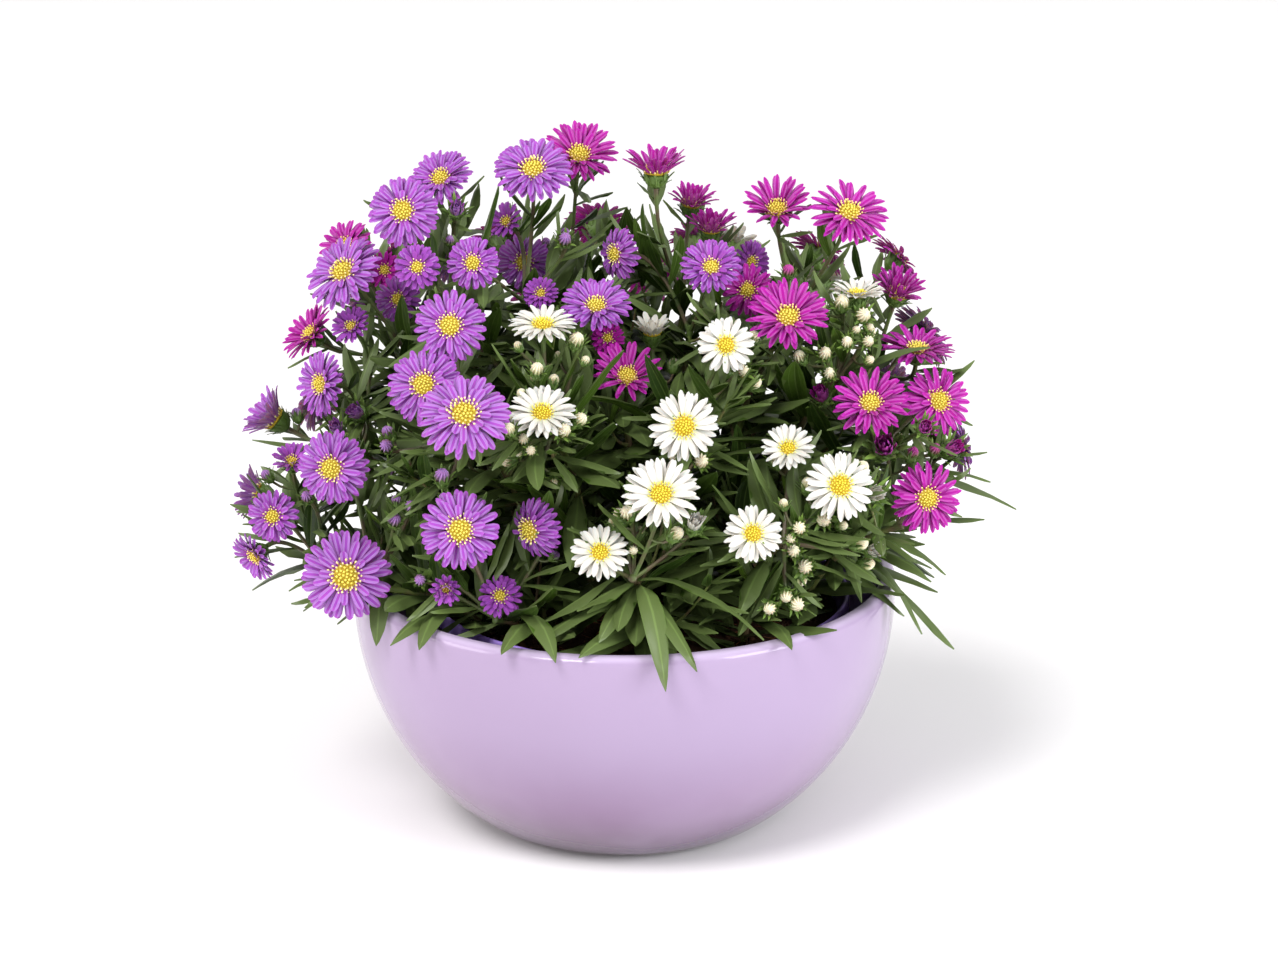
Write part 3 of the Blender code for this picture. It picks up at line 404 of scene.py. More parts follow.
# %% Blades and tubes
Section = namedtuple("Section", "across lift depth mark")
PETAL_SECTION, LEAF_SECTION, BRACT_SECTION = (Section(*(np.array(row) for row in rows)) for rows in (
    ((1, 0.45, -0.45, -1, 0), (0.24, -0.02, -0.02, 0.24, -0.02), (0, 0, 0, 0, 1), (1, 0.45, 0.45, 1, 2)),
    ((1, 0.62, 0.14, 0, -0.14, -0.62, -1, 0), (0.28, 0.22, 0.08, 0.0, 0.08, 0.22, 0.28, 0.0),
     (0, 0, 0, 0, 0, 0, 0, 1.6), (1, 0.62, 0.14, 0, 0.14, 0.62, 1, 2)),
    ((1, 0, -1, 0), (0.1, 0.25, 0.1, 0.2), (0, 0, 0, 1), (1, 0, 1, 2))))


def blade(growth, spine, side, half_widths, section, thickness, tone, wave=0.0):
    """Adds a blade. side is one vector to its left, or one for each point of the spine."""
    ahead = unit(np.gradient(spine, axis=0))
    side = np.broadcast_to(side, spine.shape)
    up = unit(np.cross(ahead, side))
    half = half_widths[:, None, None]
    lift = section.lift[None, :, None] * half + wave
    rings = spine[:, None] + side[:, None] * section.across[None, :, None] * half
    growth.loft(rings + up[:, None] * (lift - section.depth[None, :, None] * thickness), section.mark, tone)


def turns(count):
    """Even angles all round."""
    return np.arange(count) * TURN / count


def spokes(side, over, turn):
    """A direction between side and over for each angle."""
    return side * np.cos(turn)[:, None] + over * np.sin(turn)[:, None]


def tube(growth, line, radii, sides, tone, ridges=0.0):
    """Adds a tube along a line of points, with ridges as a share of its radius."""
    line = np.array(line, float)
    ahead = unit(np.gradient(line, axis=0))
    frames = [np.array(across(Vector(ahead[0]))[0])]
    for way in ahead[1:]:
        moved = frames[-1] - way * np.dot(frames[-1], way)
        frames.append(moved / np.linalg.norm(moved))
    turn = turns(sides)
    rings = np.array([spokes(side, over, turn) for side, over in zip(frames, np.cross(ahead, frames))])
    bumps = 1 + ridges * np.cos(np.arange(sides) * math.pi)
    growth.loft(line[:, None] + rings * (np.asarray(radii)[:, None] * bumps)[..., None], np.cos(turn), tone)


print("sections:", len(PETAL_SECTION.across), len(LEAF_SECTION.across), len(BRACT_SECTION.across))

# %% [markdown]
# ## Shader sums
# A finish is mostly arithmetic: a share of one colour and a share of another, by how far along a petal
# a point lies. Wiring each sum by hand hides it, so a small class wraps a socket, and Python's own
# operators add the Math nodes. Colours go through Mix nodes, because a Math node would turn them grey.

# %% Sockets that add up
class Wire:
    """A value socket of a finish. Sums and products of wires add Math nodes."""

    def __init__(self, finish, socket):
        self.finish, self.socket = finish, socket

    def math(self, operation, first, second=0.0):
        return self.finish.add("Math", {"operation": operation}, {0: first, 1: second})

    def __add__(self, other):
        return self.math("ADD", self, other)

    def __sub__(self, other):
        return self.math("SUBTRACT", self, other)

    def __rsub__(self, other):
        return self.math("SUBTRACT", other, self)

    def __mul__(self, other):
        return self.math("MULTIPLY", self, other)

    def __abs__(self):
        return self.math("ABSOLUTE", self)

    def sine(self):
        return self.math("SINE", self)

    def between(self, low, high):
        """0 below low, 1 above high, and a smooth rise from one to the other."""
        kind = {"interpolation_type": "SMOOTHSTEP", "clamp": True}
        return self.finish.add("MapRange", kind, {"Value": self, "From Min": low, "From Max": high})

    __radd__, __rmul__ = __add__, __mul__


class Finish:
    """One material: its Principled shader, and one way to add any other node."""

    def __init__(self, name, **fixed):
        self.material = bpy.data.materials.new(name)
        self.material.use_nodes = True
        self.tree = self.material.node_tree
        self.shader = self.tree.nodes["Principled BSDF"]
        self.wear(**fixed)

    def feed(self, socket, value):
        """Puts a wire or a plain value on a socket."""
        if isinstance(value, Wire):
            self.tree.links.new(value.socket, socket)
        elif isinstance(value, tuple) and socket.type == "RGBA":
            socket.default_value = (*value, 1)
        else:
            socket.default_value = value

    def add(self, kind, settings=None, sockets=None, out=0):
        """Adds a node by its type, its settings and its sockets' values or links."""
        node = self.tree.nodes.new("ShaderNode" + kind)
        for name, value in (settings or {}).items():
            setattr(node, name, value)
        for key, value in (sockets or {}).items():
            self.feed(node.inputs[key], value)
        return Wire(self, node.outputs[out])

    def mark(self, name):
        """What a piece keeps at its points: along, across or tone."""
        return self.add("Attribute", {"attribute_name": name}, out="Fac")

    def place(self):
        return self.add("TexCoord", out="Object")

    def speckle(self, scale, detail=3.0, roughness=0.55, stretch=None):
        """Noise from 0 to 1 in the object's own space, drawn out by stretch if it is given."""
        where = self.place()
        if stretch:
            where = self.add("Mapping", None, {"Vector": where, "Scale": stretch})
        return self.add(
            "TexNoise", None, {"Vector": where, "Scale": scale, "Detail": detail, "Roughness": roughness})

    def layers(self, colour, *coats):
        """A colour with others over it, each with the factor by which it covers what lies below."""
        for factor, over in coats:
            colour = self.add("Mix", {"data_type": "RGBA"}, {0: factor, 6: colour, 7: over}, out=2)
        return colour

    def wear(self, **inputs):
        """Feeds the shader's own sockets, such as Base_Color and Roughness."""
        for socket, value in inputs.items():
            self.feed(self.shader.inputs[socket.replace("_", " ")], value)

    def relief(self, height, distance, strength):
        """Bumps the surface by a height from 0 to 1."""
        bump = self.add("Bump", None, {"Height": height, "Distance": distance, "Strength": strength})
        self.wear(Normal=bump)


print("sums ready:", len([name for name in dir(Wire) if name.startswith("__r")]), "reflected forms")

# %% [markdown]
# ## The glazed bowl
# The bowl is thrown or pressed clay under a smooth lavender glaze. It is round, so a profile turned
# by the Screw modifier gives it, with a rounded lip, a thick wall and a low foot. The solid has few
# sides, and here it has enough to mirror the lights without a facet.

# %% Turned pieces
TURNED_STEPS, MERGE = 144, 0.00001
TURNED_SHARP_DEG = 40


def arc(x, z, radius, start_deg, end_deg, count):
    """Points (radius, height) along an arc of a profile."""
    angles = np.radians(np.linspace(start_deg, end_deg, count))
    return [(x + radius * math.cos(a), z + radius * math.sin(a)) for a in angles]


def take_shape(obj):
    """Turns an object's modifiers into its mesh."""
    whole = bpy.data.meshes.new_from_object(obj.evaluated_get(bpy.context.evaluated_depsgraph_get()))
    obj.modifiers.clear()
    obj.data = whole
    return whole


def turned(name, profile, finish, centre=(0, 0)):
    """A profile of (radius, height) points turned round the vertical through centre."""
    points = [(radius, 0, height) for radius, height in profile]
    steps = [(i, (i + 1) % len(points)) for i in range(len(points))]
    obj = mesh_object(name, points, [(a, b) for a, b in steps if points[a][0] or points[b][0]], [])
    screw = obj.modifiers.new("Turn", "SCREW")
    screw.steps = screw.render_steps = TURNED_STEPS
    screw.use_merge_vertices = True
    screw.merge_threshold = MERGE
    whole = take_shape(obj)
    whole.transform(Matrix.Translation((*centre, 0)))
    smooth(whole, finish, TURNED_SHARP_DEG)
    print(name, "faces:", len(whole.polygons))
    return obj


# %% The bowl's form
BOWL_RADIUS, BOWL_HEIGHT, BOWL_WIDEST = 0.120, 0.113, 0.105
BOWL_DEPTH_CURVE, BOWL_CURVE_POWER = 0.123, 2.034
BOWL_WALL, BOWL_FLOOR = 0.0075, 0.008
BOWL_LIP, INNER_LIP, INNER_LIP_IN = 0.0035, 0.0012, 0.0052
WALL_TOP, WALL_LOW = BOWL_HEIGHT - 0.006, 0.0045
FOOT_RADIUS, FOOT_STEP, FOOT_NECK, FOOT_EDGE = 0.060, 0.0025, 0.0012, 0.0006
FOOT_UNDER = ((-0.0065, 0), (-0.0075, 0.0011), (-FOOT_RADIUS, 0.0014))
FLOOR_FLAT, FLOOR_BEND, FLOOR_RISE = 0.050, 0.057, 0.0010
INSIDE_LOW, INSIDE_TOP, INSIDE_RAISED = 0.014, 0.102, 0.004


def bowl_radius_at(height):
    """Outer radius of the bowl's wall."""
    below = max(0.0, (BOWL_WIDEST - height) / BOWL_DEPTH_CURVE)
    return BOWL_RADIUS * (1 - below**BOWL_CURVE_POWER) ** (1 / BOWL_CURVE_POWER)


def bowl_profile():
    """Down the outside from the lip, across the foot ring, then up the inside."""
    neck = FOOT_RADIUS + FOOT_NECK
    outside = arc(BOWL_RADIUS - BOWL_LIP, BOWL_HEIGHT - BOWL_LIP, BOWL_LIP, 90, 0, 9)
    outside += [(bowl_radius_at(z), z) for z in np.linspace(WALL_TOP, WALL_LOW, 34)]
    foot = [(0.0665, FOOT_STEP + 0.0003), (0.0640, FOOT_STEP - 0.0001), (neck, FOOT_STEP - 0.0003)]
    foot += arc(neck, FOOT_STEP - 0.0015, FOOT_NECK, 150, 180, 3)
    foot += arc(FOOT_RADIUS - FOOT_EDGE, FOOT_EDGE, FOOT_EDGE, 0, -90, 5)
    foot += [(FOOT_RADIUS + inward, z) for inward, z in FOOT_UNDER]
    inside = [(0, BOWL_FLOOR), (FLOOR_FLAT, BOWL_FLOOR), (FLOOR_BEND, BOWL_FLOOR + FLOOR_RISE)]
    inside += [(bowl_radius_at(z) - BOWL_WALL, z + INSIDE_RAISED)
               for z in np.linspace(INSIDE_LOW, INSIDE_TOP, 26)]
    inside += [(BOWL_RADIUS - BOWL_WALL + 0.0006, BOWL_HEIGHT - 0.0040)]
    inside += arc(BOWL_RADIUS - INNER_LIP_IN, BOWL_HEIGHT - INNER_LIP, INNER_LIP, 165, 90, 5)
    return outside + foot + inside


print("bowl points:", len(bowl_profile()),
      "foot curve radius in mm:", round(bowl_radius_at(WALL_LOW) / MM, 1))

# %% [markdown]
# The glaze is a thin coloured glass on a pale clay. It is thinner and paler on the lip and carries faint
# clouds and a few specks. Its colour is painted darker low down, nearly to black just above the foot ring.
# That is painted shade for the shade on the bowl's lower wall. Its gloss is a clear coat over the colour,
# with the least ripple, because a fired glaze is never quite level. The foot ring stays bare clay.

# %% The glaze
glaze = Finish("lavender_glaze", Coat_Weight=0.6, Coat_Roughness=0.06, Coat_IOR=1.40, Specular_IOR_Level=0.15)
height = glaze.add("SeparateXYZ", None, {"Vector": glaze.place()}, out="Z")
clouds, specks = glaze.speckle(14, 3), glaze.speckle(520, 2, 0.4)
bare = 1 - height.between(0.0007, 0.0012)
# Painted shade: below about 80 mm the colour darkens to near black just above the foot ring.
body = glaze.layers(
    (0.030, 0.007, 0.030), (height.between(-0.01, 0.045), (0.236, 0.142, 0.250)),
    (height.between(0.018, 0.080), (0.330, 0.252, 0.382)),
    (clouds.between(0.35, 0.7) * 0.3, (0.348, 0.266, 0.402)),
    (height.between(0.1108, 0.1132) * 0.55, (0.62, 0.52, 0.70)),
    (specks.between(0.72, 0.80) * 0.22, (0.34, 0.22, 0.40)), (bare, (0.62, 0.52, 0.42)))
glaze.wear(Base_Color=body, Roughness=clouds * 0.08 + 0.20 + bare * 0.6)
glaze.relief(glaze.speckle(38, 2), 0.0004, 0.25)
settle(turned("bowl_glazed", bowl_profile(), glaze), "glaze", "bowl")

# %% [markdown]
# ## The nursery pot
# The plants still stand in the thin plastic pot that they were sold in, violet and half glossy, with a
# turned-out lip and holes in its floor. Only its lip shows, between the leaves at the right.

# %% The pot's form
POT_BASE_RADIUS, POT_RIM_Z = 0.043, 0.106
POT_LIP_HEIGHT, POT_LIP, POT_WALL = 0.008, 0.002, 0.0015
POT_EDGE, POT_INNER_EDGE, POT_LIP_CORNER, POT_FLOOR_BEND = 0.0008, 0.0005, 0.0003, 0.0010
POT_BASE_CORNER = ((0.0008, 0.0012), (-0.0004, 0))
DRAIN_HOLES, DRAIN_HOLE_RADIUS, DRAIN_CIRCLE, DRILL_LENGTH, DRILL_SIDES = 4, 0.004, 0.028, 0.01, 24
pot_lip_z = POT_RIM_Z - POT_LIP_HEIGHT
pot_base_z = BOWL_FLOOR + GAP
pot_floor_z = pot_base_z + POT_WALL
pot_outer = POT_RIM_RADIUS - POT_LIP
pot_slope = (pot_outer - POT_BASE_RADIUS) / (pot_lip_z - pot_base_z)
pot_wall_across = POT_WALL * math.hypot(1, pot_slope)


def pot_inner_radius(height):
    """Radius of the pot's inside wall, from its floor up to the lip."""
    low_radius = POT_BASE_RADIUS + pot_slope * POT_WALL - pot_wall_across
    share = (height - pot_floor_z) / (pot_lip_z - pot_floor_z)
    return low_radius + (pot_outer - pot_wall_across - low_radius) * share


def pot_profile():
    """Down the outside from the lip's rounded top, across the floor, then up the inside."""
    edge, under, inner = POT_EDGE, POT_EDGE / 2, POT_INNER_EDGE
    bend_z = pot_floor_z + POT_FLOOR_BEND
    outside = arc(POT_RIM_RADIUS - edge, POT_RIM_Z - edge, edge, 90, 0, 5)
    outside += arc(POT_RIM_RADIUS - under, pot_lip_z + under, under, 0, -90, 4)
    outside += [(pot_outer + POT_LIP_CORNER, pot_lip_z), (pot_outer, pot_lip_z - POT_LIP_CORNER)]
    outside += [(POT_BASE_RADIUS + x, pot_base_z + z) for x, z in POT_BASE_CORNER] + [(0, pot_base_z)]
    inside = [(0, pot_floor_z), (pot_inner_radius(pot_floor_z) - 0.0006, pot_floor_z)]
    inside += [(pot_inner_radius(z), z) for z in (bend_z, pot_lip_z)]
    inside += arc(POT_RIM_RADIUS - POT_WALL + inner, POT_RIM_Z - inner, inner, 175, 90, 4)
    return outside + inside


print("pot height in mm:", round((POT_RIM_Z - pot_base_z) / MM), "points:", len(pot_profile()))

# %% The pot and its plastic
plastic = Finish("pot_plastic")
scuffs = plastic.speckle(90, 4, 0.65, (1, 1, 0.3))
tint = plastic.layers((0.360, 0.220, 0.700), (scuffs.between(0.35, 0.75), (0.450, 0.300, 0.820)))
plastic.wear(Base_Color=tint, Roughness=scuffs * 0.25 + 0.30)
plastic.relief(plastic.speckle(900, 1), 0.00008, 0.5)
pot = turned("nursery_pot_shell", pot_profile(), plastic, (POT_X, POT_Y))

cutter = bmesh.new()
for hole in range(DRAIN_HOLES):
    angle = TURN * (hole + 0.5) / DRAIN_HOLES
    made = bmesh.ops.create_cone(
        cutter, cap_ends=True, segments=DRILL_SIDES, radius1=DRAIN_HOLE_RADIUS, radius2=DRAIN_HOLE_RADIUS,
        depth=DRILL_LENGTH)
    spot = (POT_X + math.cos(angle) * DRAIN_CIRCLE, POT_Y + math.sin(angle) * DRAIN_CIRCLE, BOWL_FLOOR)
    bmesh.ops.translate(cutter, verts=made["verts"], vec=spot)
drill = mesh_object("drill", [], [], [])
cutter.to_mesh(drill.data)
cutter.free()
cut = pot.modifiers.new("Cut", "BOOLEAN")
cut.operation = "DIFFERENCE"
cut.object = drill
print("pot faces after its holes:", len(take_shape(pot).polygons))
bpy.data.objects.remove(drill)
settle(pot, "pot_plastic", "nursery_pot")

# %% [markdown]
# ## The compost
# Peat compost is a crumbly mass with reddish fibres. Its body is one loft that runs out under the plug,
# up its side and back over the top, where noise breaks the surface. Loose crumbs and fibres lie on it.
# They are geometry and not only bump, because the eye looks at them from a low angle past the stems.

# %% The compost's body, crumbs and fibres
SOIL_SIDES, SOIL_RINGS, SOIL_SEED = 96, 40, 11
CRUMBLE, CRUMBLE_SCALE = 0.0011, 170
SOIL_MIDDLE, SOIL_TONE = 0.0008, 0.4
CRUMBS, CRUMB_REACH, CRUMB_SIZES, LARGE_CRUMB = 800, 0.083, (0.0006, 0.0019), 1.5
CRUMB_RINGS, CRUMB_SIDES, CRUMB_FLAT = ((-0.75, 0.45), (-0.25, 1.0), (0.35, 0.9), (0.8, 0.35)), 5, 0.8
CRUMB_GIRTHS, SMALL_CRUMB_SHARE = (0.75, 1.2), 0.85
FIBRES, FIBRE_REACH, FIBRE_LENGTHS, FIBRE_THICK = 260, 0.078, (0.004, 0.013), (0.00012, 0.00032)
FIBRE_TAPER, FIBRE_LIFT, FIBRE_ARCH = (0.5, 1, 1, 0.8, 0.3), 0.0004, 0.0012
FIBRE_TONE, FIBRE_SWING = 2.0, 0.5


def crumbly_height(x, y):
    """The compost's surface with its crumb, which fades at the rim."""
    crumb = noise.fractal(Vector((x, y, 0)) * CRUMBLE_SCALE, 0.9, 2.1, 4)
    return soil_height(x, y) + CRUMBLE * crumb * (1 - from_pot_middle(x, y)**8)


def compost_body(growth):
    base_z = pot_floor_z + GAP
    rim, base = (pot_inner_radius(z) - 2 * GAP for z in (SOIL_EDGE_Z, base_z))
    circles = [(0.002, base_z), (base - 0.001, base_z), (base, base_z + 0.001), (rim, SOIL_EDGE_Z - 0.001)]
    circles += [(radius, None) for radius in np.linspace(rim, SOIL_MIDDLE, SOIL_RINGS)]
    turn = turns(SOIL_SIDES)
    rings = np.empty((len(circles), SOIL_SIDES, 3))
    for ring, (radius, z) in zip(rings, circles):
        ring[:, 0] = POT_X + np.cos(turn) * radius
        ring[:, 1] = POT_Y + np.sin(turn) * radius
        ring[:, 2] = z if z is not None else [crumbly_height(x, y) for x, y in ring[:, :2]]
    growth.loft(rings, 0, SOIL_TONE)


def soil_spot(draw, reach):
    """A random place on the compost, and the height there."""
    radius, turn = reach * math.sqrt(draw.random()), draw.uniform(0, TURN)
    x, y = POT_X + radius * math.cos(turn), POT_Y + radius * math.sin(turn)
    return Vector((x, y, crumbly_height(x, y)))


def crumb(growth, draw):
    """A small lump: rings of a few uneven points."""
    middle = soil_spot(draw, CRUMB_REACH)
    size = draw.uniform(*CRUMB_SIZES) * (1 if draw.random() < SMALL_CRUMB_SHARE else LARGE_CRUMB)
    lean, spin = draw.uniform(0, math.pi), draw.uniform(0, math.pi)
    tilt = Matrix.Rotation(lean, 3, "X") @ Matrix.Rotation(spin, 3, "Z")
    rings = []
    for z, girth in CRUMB_RINGS:
        rings.append([])
        for side in range(CRUMB_SIDES):
            angle, reach = TURN * side / CRUMB_SIDES, size * girth * draw.uniform(*CRUMB_GIRTHS)
            spot = Vector((math.cos(angle) * reach, math.sin(angle) * reach, z * size * CRUMB_FLAT))
            rings[-1].append(middle + tilt @ spot)
    growth.loft(rings, 0, draw.random())


def fibre(growth, draw):
    """A bent thread of peat on the surface."""
    start = soil_spot(draw, FIBRE_REACH)
    turn, length = draw.uniform(0, TURN), draw.uniform(*FIBRE_LENGTHS)
    swing = draw.uniform(-FIBRE_SWING, FIBRE_SWING)
    line = []
    for share in shares_of(len(FIBRE_TAPER)):
        way = turn + swing * share * 2
        spot = start + Vector((math.cos(way), math.sin(way), 0)) * length * share
        arch = FIBRE_ARCH * math.sin(math.pi * share) * abs(swing)
        spot.z = max(spot.z, crumbly_height(spot.x, spot.y)) + FIBRE_LIFT + arch
        line.append(spot)
    thick = draw.uniform(*FIBRE_THICK)
    tube(growth, line, [thick * share for share in FIBRE_TAPER], 4, FIBRE_TONE + draw.random() * 0.3)


peat = Finish("peat", Specular_IOR_Level=0.25)
tone, damp, flecks = peat.mark("tone"), peat.speckle(60, 4), peat.speckle(1500, 2)
reddish = peat.layers((0.15, 0.055, 0.022), (tone - FIBRE_TONE, (0.28, 0.13, 0.055)))
earth = peat.layers(
    (0.026, 0.0125, 0.0065), (tone, (0.085, 0.040, 0.020)),
    (damp.between(0.45, 0.7) * 0.5, (0.050, 0.023, 0.012)),
    (flecks.between(0.60, 0.72) * 0.5, (0.20, 0.085, 0.036)), (tone.between(1.4, 1.6), reddish))
peat.wear(Base_Color=earth, Roughness=damp * 0.15 + 0.82)
peat.relief(peat.speckle(700, 3, 0.7), 0.0006, 0.8)

soil = Growth()
compost_body(soil)
draw = random.Random(SOIL_SEED)
for make, count in ((crumb, CRUMBS), (fibre, FIBRES)):
    for _ in range(count):
        make(soil, draw)
soil.piece("compost_crumbly", peat, 35, "peat", "compost")

# %% [markdown]
# ## Where the leaves are
# The solids hold a leaf wherever there was room for one: first the leaves that stand out in the front
# view, given by where their tips are seen, then others by rule round each stem. Each was tried in a few
# ways. The same tries are made here, and the one that the solid took is the one whose keel is a corner
# of it. So each fine leaf lies exactly in its coarse one, and nothing is moved.

# %% Leaves that stand out
# Share of the stem's length, the tip's place in the front view, its depth in mm, droop, width in mm
SHOWN_LEAVES = {
    "magenta_right": (
        (0.97, 1016, 510, -20, 0.30, 10.0), (0.55, 861, 603, -68, 0.60, 8.5), (0.97, 972, 360, 2, 0.15, 7.5),
        (0.80, 799, 393, -32, 0.20, 8.0), (0.70, 795, 556, -62, 0.50, 8.0)),
    "magenta_right_low": (
        (0.97, 984, 520, -30, 0.20, 8.5), (0.90, 945, 576, -50, 0.40, 8.5), (0.70, 932, 582, -62, 0.40, 8.0),
        (0.80, 922, 634, -52, 0.80, 9.0)),
    "white_high": ((0.97, 930, 348, -42, 0.45, 8.0), (0.85, 801, 359, -34, 0.05, 8.0)),
    "magenta_right_high": ((0.97, 957, 312, 24, 0.30, 5.0),),
    "magenta_shoulder": ((0.97, 857, 284, -10, 0.45, 9.0),),
    "white_front": (
        (0.85, 663, 692, -131, 0.85, 9.5), (0.55, 696, 672, -129, 0.75, 9.0),
        (0.97, 763, 641, -110, 0.70, 10.0), (0.97, 578, 612, -112, 0.30, 9.5),
        (0.70, 600, 643, -113, 0.55, 8.5), (0.40, 583, 659, -123, 0.60, 9.0),
        (0.85, 566, 528, -98, 0.50, 8.0)),
    "white_right": ((0.25, 793, 650, -102, 0.45, 8.0), (0.85, 741, 616, -96, 0.30, 9.0)),
    "violet_low": ((0.85, 556, 663, -124, 0.80, 9.0), (0.55, 505, 655, -120, 0.60, 9.5)),
    "white_centre": (
        (0.25, 712, 614, -86, 0.55, 9.0), (0.85, 642, 354, -66, 0.10, 9.0), (0.85, 586, 397, -62, 0.45, 9.5),
        (0.70, 617, 458, -72, 0.30, 8.5), (0.97, 771, 405, -72, 0.35, 8.0), (0.85, 746, 471, -84, 0.35, 8.5)),
    "violet_low_left": (
        (0.70, 288, 591, -50, 0.60, 9.0), (0.90, 254, 590, -6, 0.50, 8.0), (0.85, 303, 553, -54, 0.55, 8.5)),
    "violet_left": ((0.97, 252, 441, -2, 0.30, 5.5), (0.55, 398, 466, -32, 0.20, 8.5)),
    "violet_left_front": (
        (0.97, 377, 646, -74, 0.80, 8.5), (0.35, 387, 645, -84, 0.50, 8.5), (0.55, 418, 650, -92, 0.60, 9.5),
        (0.85, 413, 481, -62, 0.05, 7.0)),
    "violet_front_left": ((0.55, 416, 462, -68, 0.35, 8.5),),
    "magenta_centre": ((0.40, 573, 461, -62, 0.20, 10.0),),
    "white_left": (
        (0.25, 530, 484, -76, 0.20, 10.0), (0.85, 502, 483, -84, 0.35, 8.5), (0.97, 492, 345, -72, 0.20, 7.5),
        (0.97, 625, 350, -76, 0.30, 8.0), (0.85, 610, 418, -84, 0.25, 7.5)),
    "magenta_mid": ((0.25, 738, 424, -48, 0.15, 8.0),),
    "magenta_top_right": ((0.97, 628, 208, 18, 0.15, 11.0),),
    "violet_crown_left": ((0.97, 500, 186, -8, 0.10, 9.0),),
    "violet_crown": ((0.97, 620, 219, 22, 0.20, 8.5),),
}
print("leaves that stand out:", sum(map(len, SHOWN_LEAVES.values())))

# %% Leaves of the solids
LEAF_SPACING, LOWEST_LEAF, HIGHEST_LEAF, FEWEST_LEAVES = 0.0172, 0.05, 0.96, 3
LEAF_LENGTHS, LEAF_WIDTH_SHARE, HOLE_CLEAR = (0.060, 0.036), 0.215, 0.004
LEAF_SIZES, LEAF_SPREADS, LEAF_DROOPS = (0.85, 1.12), (50, 72), (0.10, 0.42)
SPREAD_FALL, DROOP_LOW, DROOP_FALL, STEM_TURN, LEAF_STRAY = 14, 1.15, 0.7, 1.3, 0.3
LEAF_TRIES = (
    (0, 1.0), (30, 1.0), (-30, 1.0), (60, 0.85), (-60, 0.85), (100, 0.75), (-100, 0.75), (160, 0.65))
SHOWN_TRIES = tuple(itertools.product((0, 8, -8), (0, -0.12, -0.24), (0, 0.15, -0.15, 0.3)))
KEEL_SHARES, KEEL_DEPTH, KEEL_MATCH = (0.28, 0.63, 1.0), 0.0011, 0.00005
Leaf = namedtuple("Leaf", "base start length droop width")


def leaf_spot(leaf, share):
    """A point along a leaf's midrib."""
    return leaf.base + leaf.start * leaf.length * share - UP * leaf.length * leaf.droop * share * share


def leaf_side(leaf):
    """The way to a leaf's left."""
    return -across((leaf_spot(leaf, 1.0) - leaf.base).normalized())[0]


def keel_corner(leaf):
    """The lowest corner of the coarse leaf's wide ring."""
    low, middle, tip = (leaf_spot(leaf, share) for share in KEEL_SHARES)
    return middle - leaf_side(leaf).cross(tip - low).normalized() * KEEL_DEPTH


def leaf_from(base, way, angle, spread, length, droop, width_share=LEAF_WIDTH_SHARE):
    """A leaf that leaves a stem at an angle round it, spread from the way it grows."""
    return Leaf(base, toward(way, toward(*across(way), angle), spread), length, droop, length * width_share)


def leaf_to(base, tip, droop, width):
    """A leaf from base to tip that rises over the line between them by a share of its length."""
    fall = Vector((0, 0, (tip - base).length * droop))
    start = tip - base + fall
    return Leaf(base, start.normalized(), start.length, fall.z / start.length, width)


def shown_choices(stem):
    """The ways in which each leaf of a stem that stands out may lie."""
    line = stem_line(stem)
    for share, across_px, down_px, depth_mm, droop, width_mm in SHOWN_LEAVES.get(stem.name, ()):
        yield [leaf_to(line_point(line, share + lower)[0],
                       sight(across_px, down_px, (depth_mm + deeper) * MM), droop + rounder, width_mm * MM)
               for deeper, lower, rounder in SHOWN_TRIES]


def leaf_choices(stem):
    """The ways in which each other leaf of a stem's solid may lie."""
    line = stem_line(stem)
    length = line_length(line)
    count = max(FEWEST_LEAVES, round(length / LEAF_SPACING))
    bare = (STEM_HOLE_DEPTH + HOLE_CLEAR) / length
    for k in range(count):
        draw = random.Random(stem.number * 101 + k)
        share = bare + LOWEST_LEAF + (HIGHEST_LEAF - bare - LOWEST_LEAF) * k / (count - 1)
        base, way = line_point(line, share)
        long = LEAF_LENGTHS[0] + (LEAF_LENGTHS[1] - LEAF_LENGTHS[0]) * share
        long *= draw.uniform(*LEAF_SIZES)
        spread = math.radians(draw.uniform(*LEAF_SPREADS) - SPREAD_FALL * share)
        droop = draw.uniform(*LEAF_DROOPS) * (DROOP_LOW - DROOP_FALL * share)
        angle = GOLDEN_ANGLE * k + stem.number * STEM_TURN + draw.uniform(-LEAF_STRAY, LEAF_STRAY)
        yield [leaf_from(base, way, angle + math.radians(turn), spread, long * shorter, droop)
               for turn, shorter in LEAF_TRIES]


def corners_of(node):
    """A solid's corners, to look up by place."""
    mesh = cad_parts[node].data
    tree = KDTree(len(mesh.vertices))
    for vertex in mesh.vertices:
        tree.insert(vertex.co, vertex.index)
    tree.balance()
    return tree


leaves = {stem.name: [] for stem in STEMS}
tried = 0
for stem in STEMS:
    corners = corners_of(stem.name + "_stem")
    for choices in itertools.chain(shown_choices(stem), leaf_choices(stem)):
        tried += 1
        leaves[stem.name] += [leaf for leaf in choices if corners.find(keel_corner(leaf))[2] < KEEL_MATCH][:1]
print("leaves in the solids:", sum(map(len, leaves.values())), "of", tried)

# %% [markdown]
# The plants are leafier than the solids. More leaves grow between those, on the stems, on short side
# shoots that have no flowers, and on the flower stalks. Each grows only where a thin test blade meets no
# solid and nothing that is already there. A tree of boxes answers that, and a grid of cells keeps the
# leaves that are near, so a few thousand tests take seconds. Nothing grows across the face of a head, nor
# between it and the eye, because a flower turns to the light that its leaves would take.

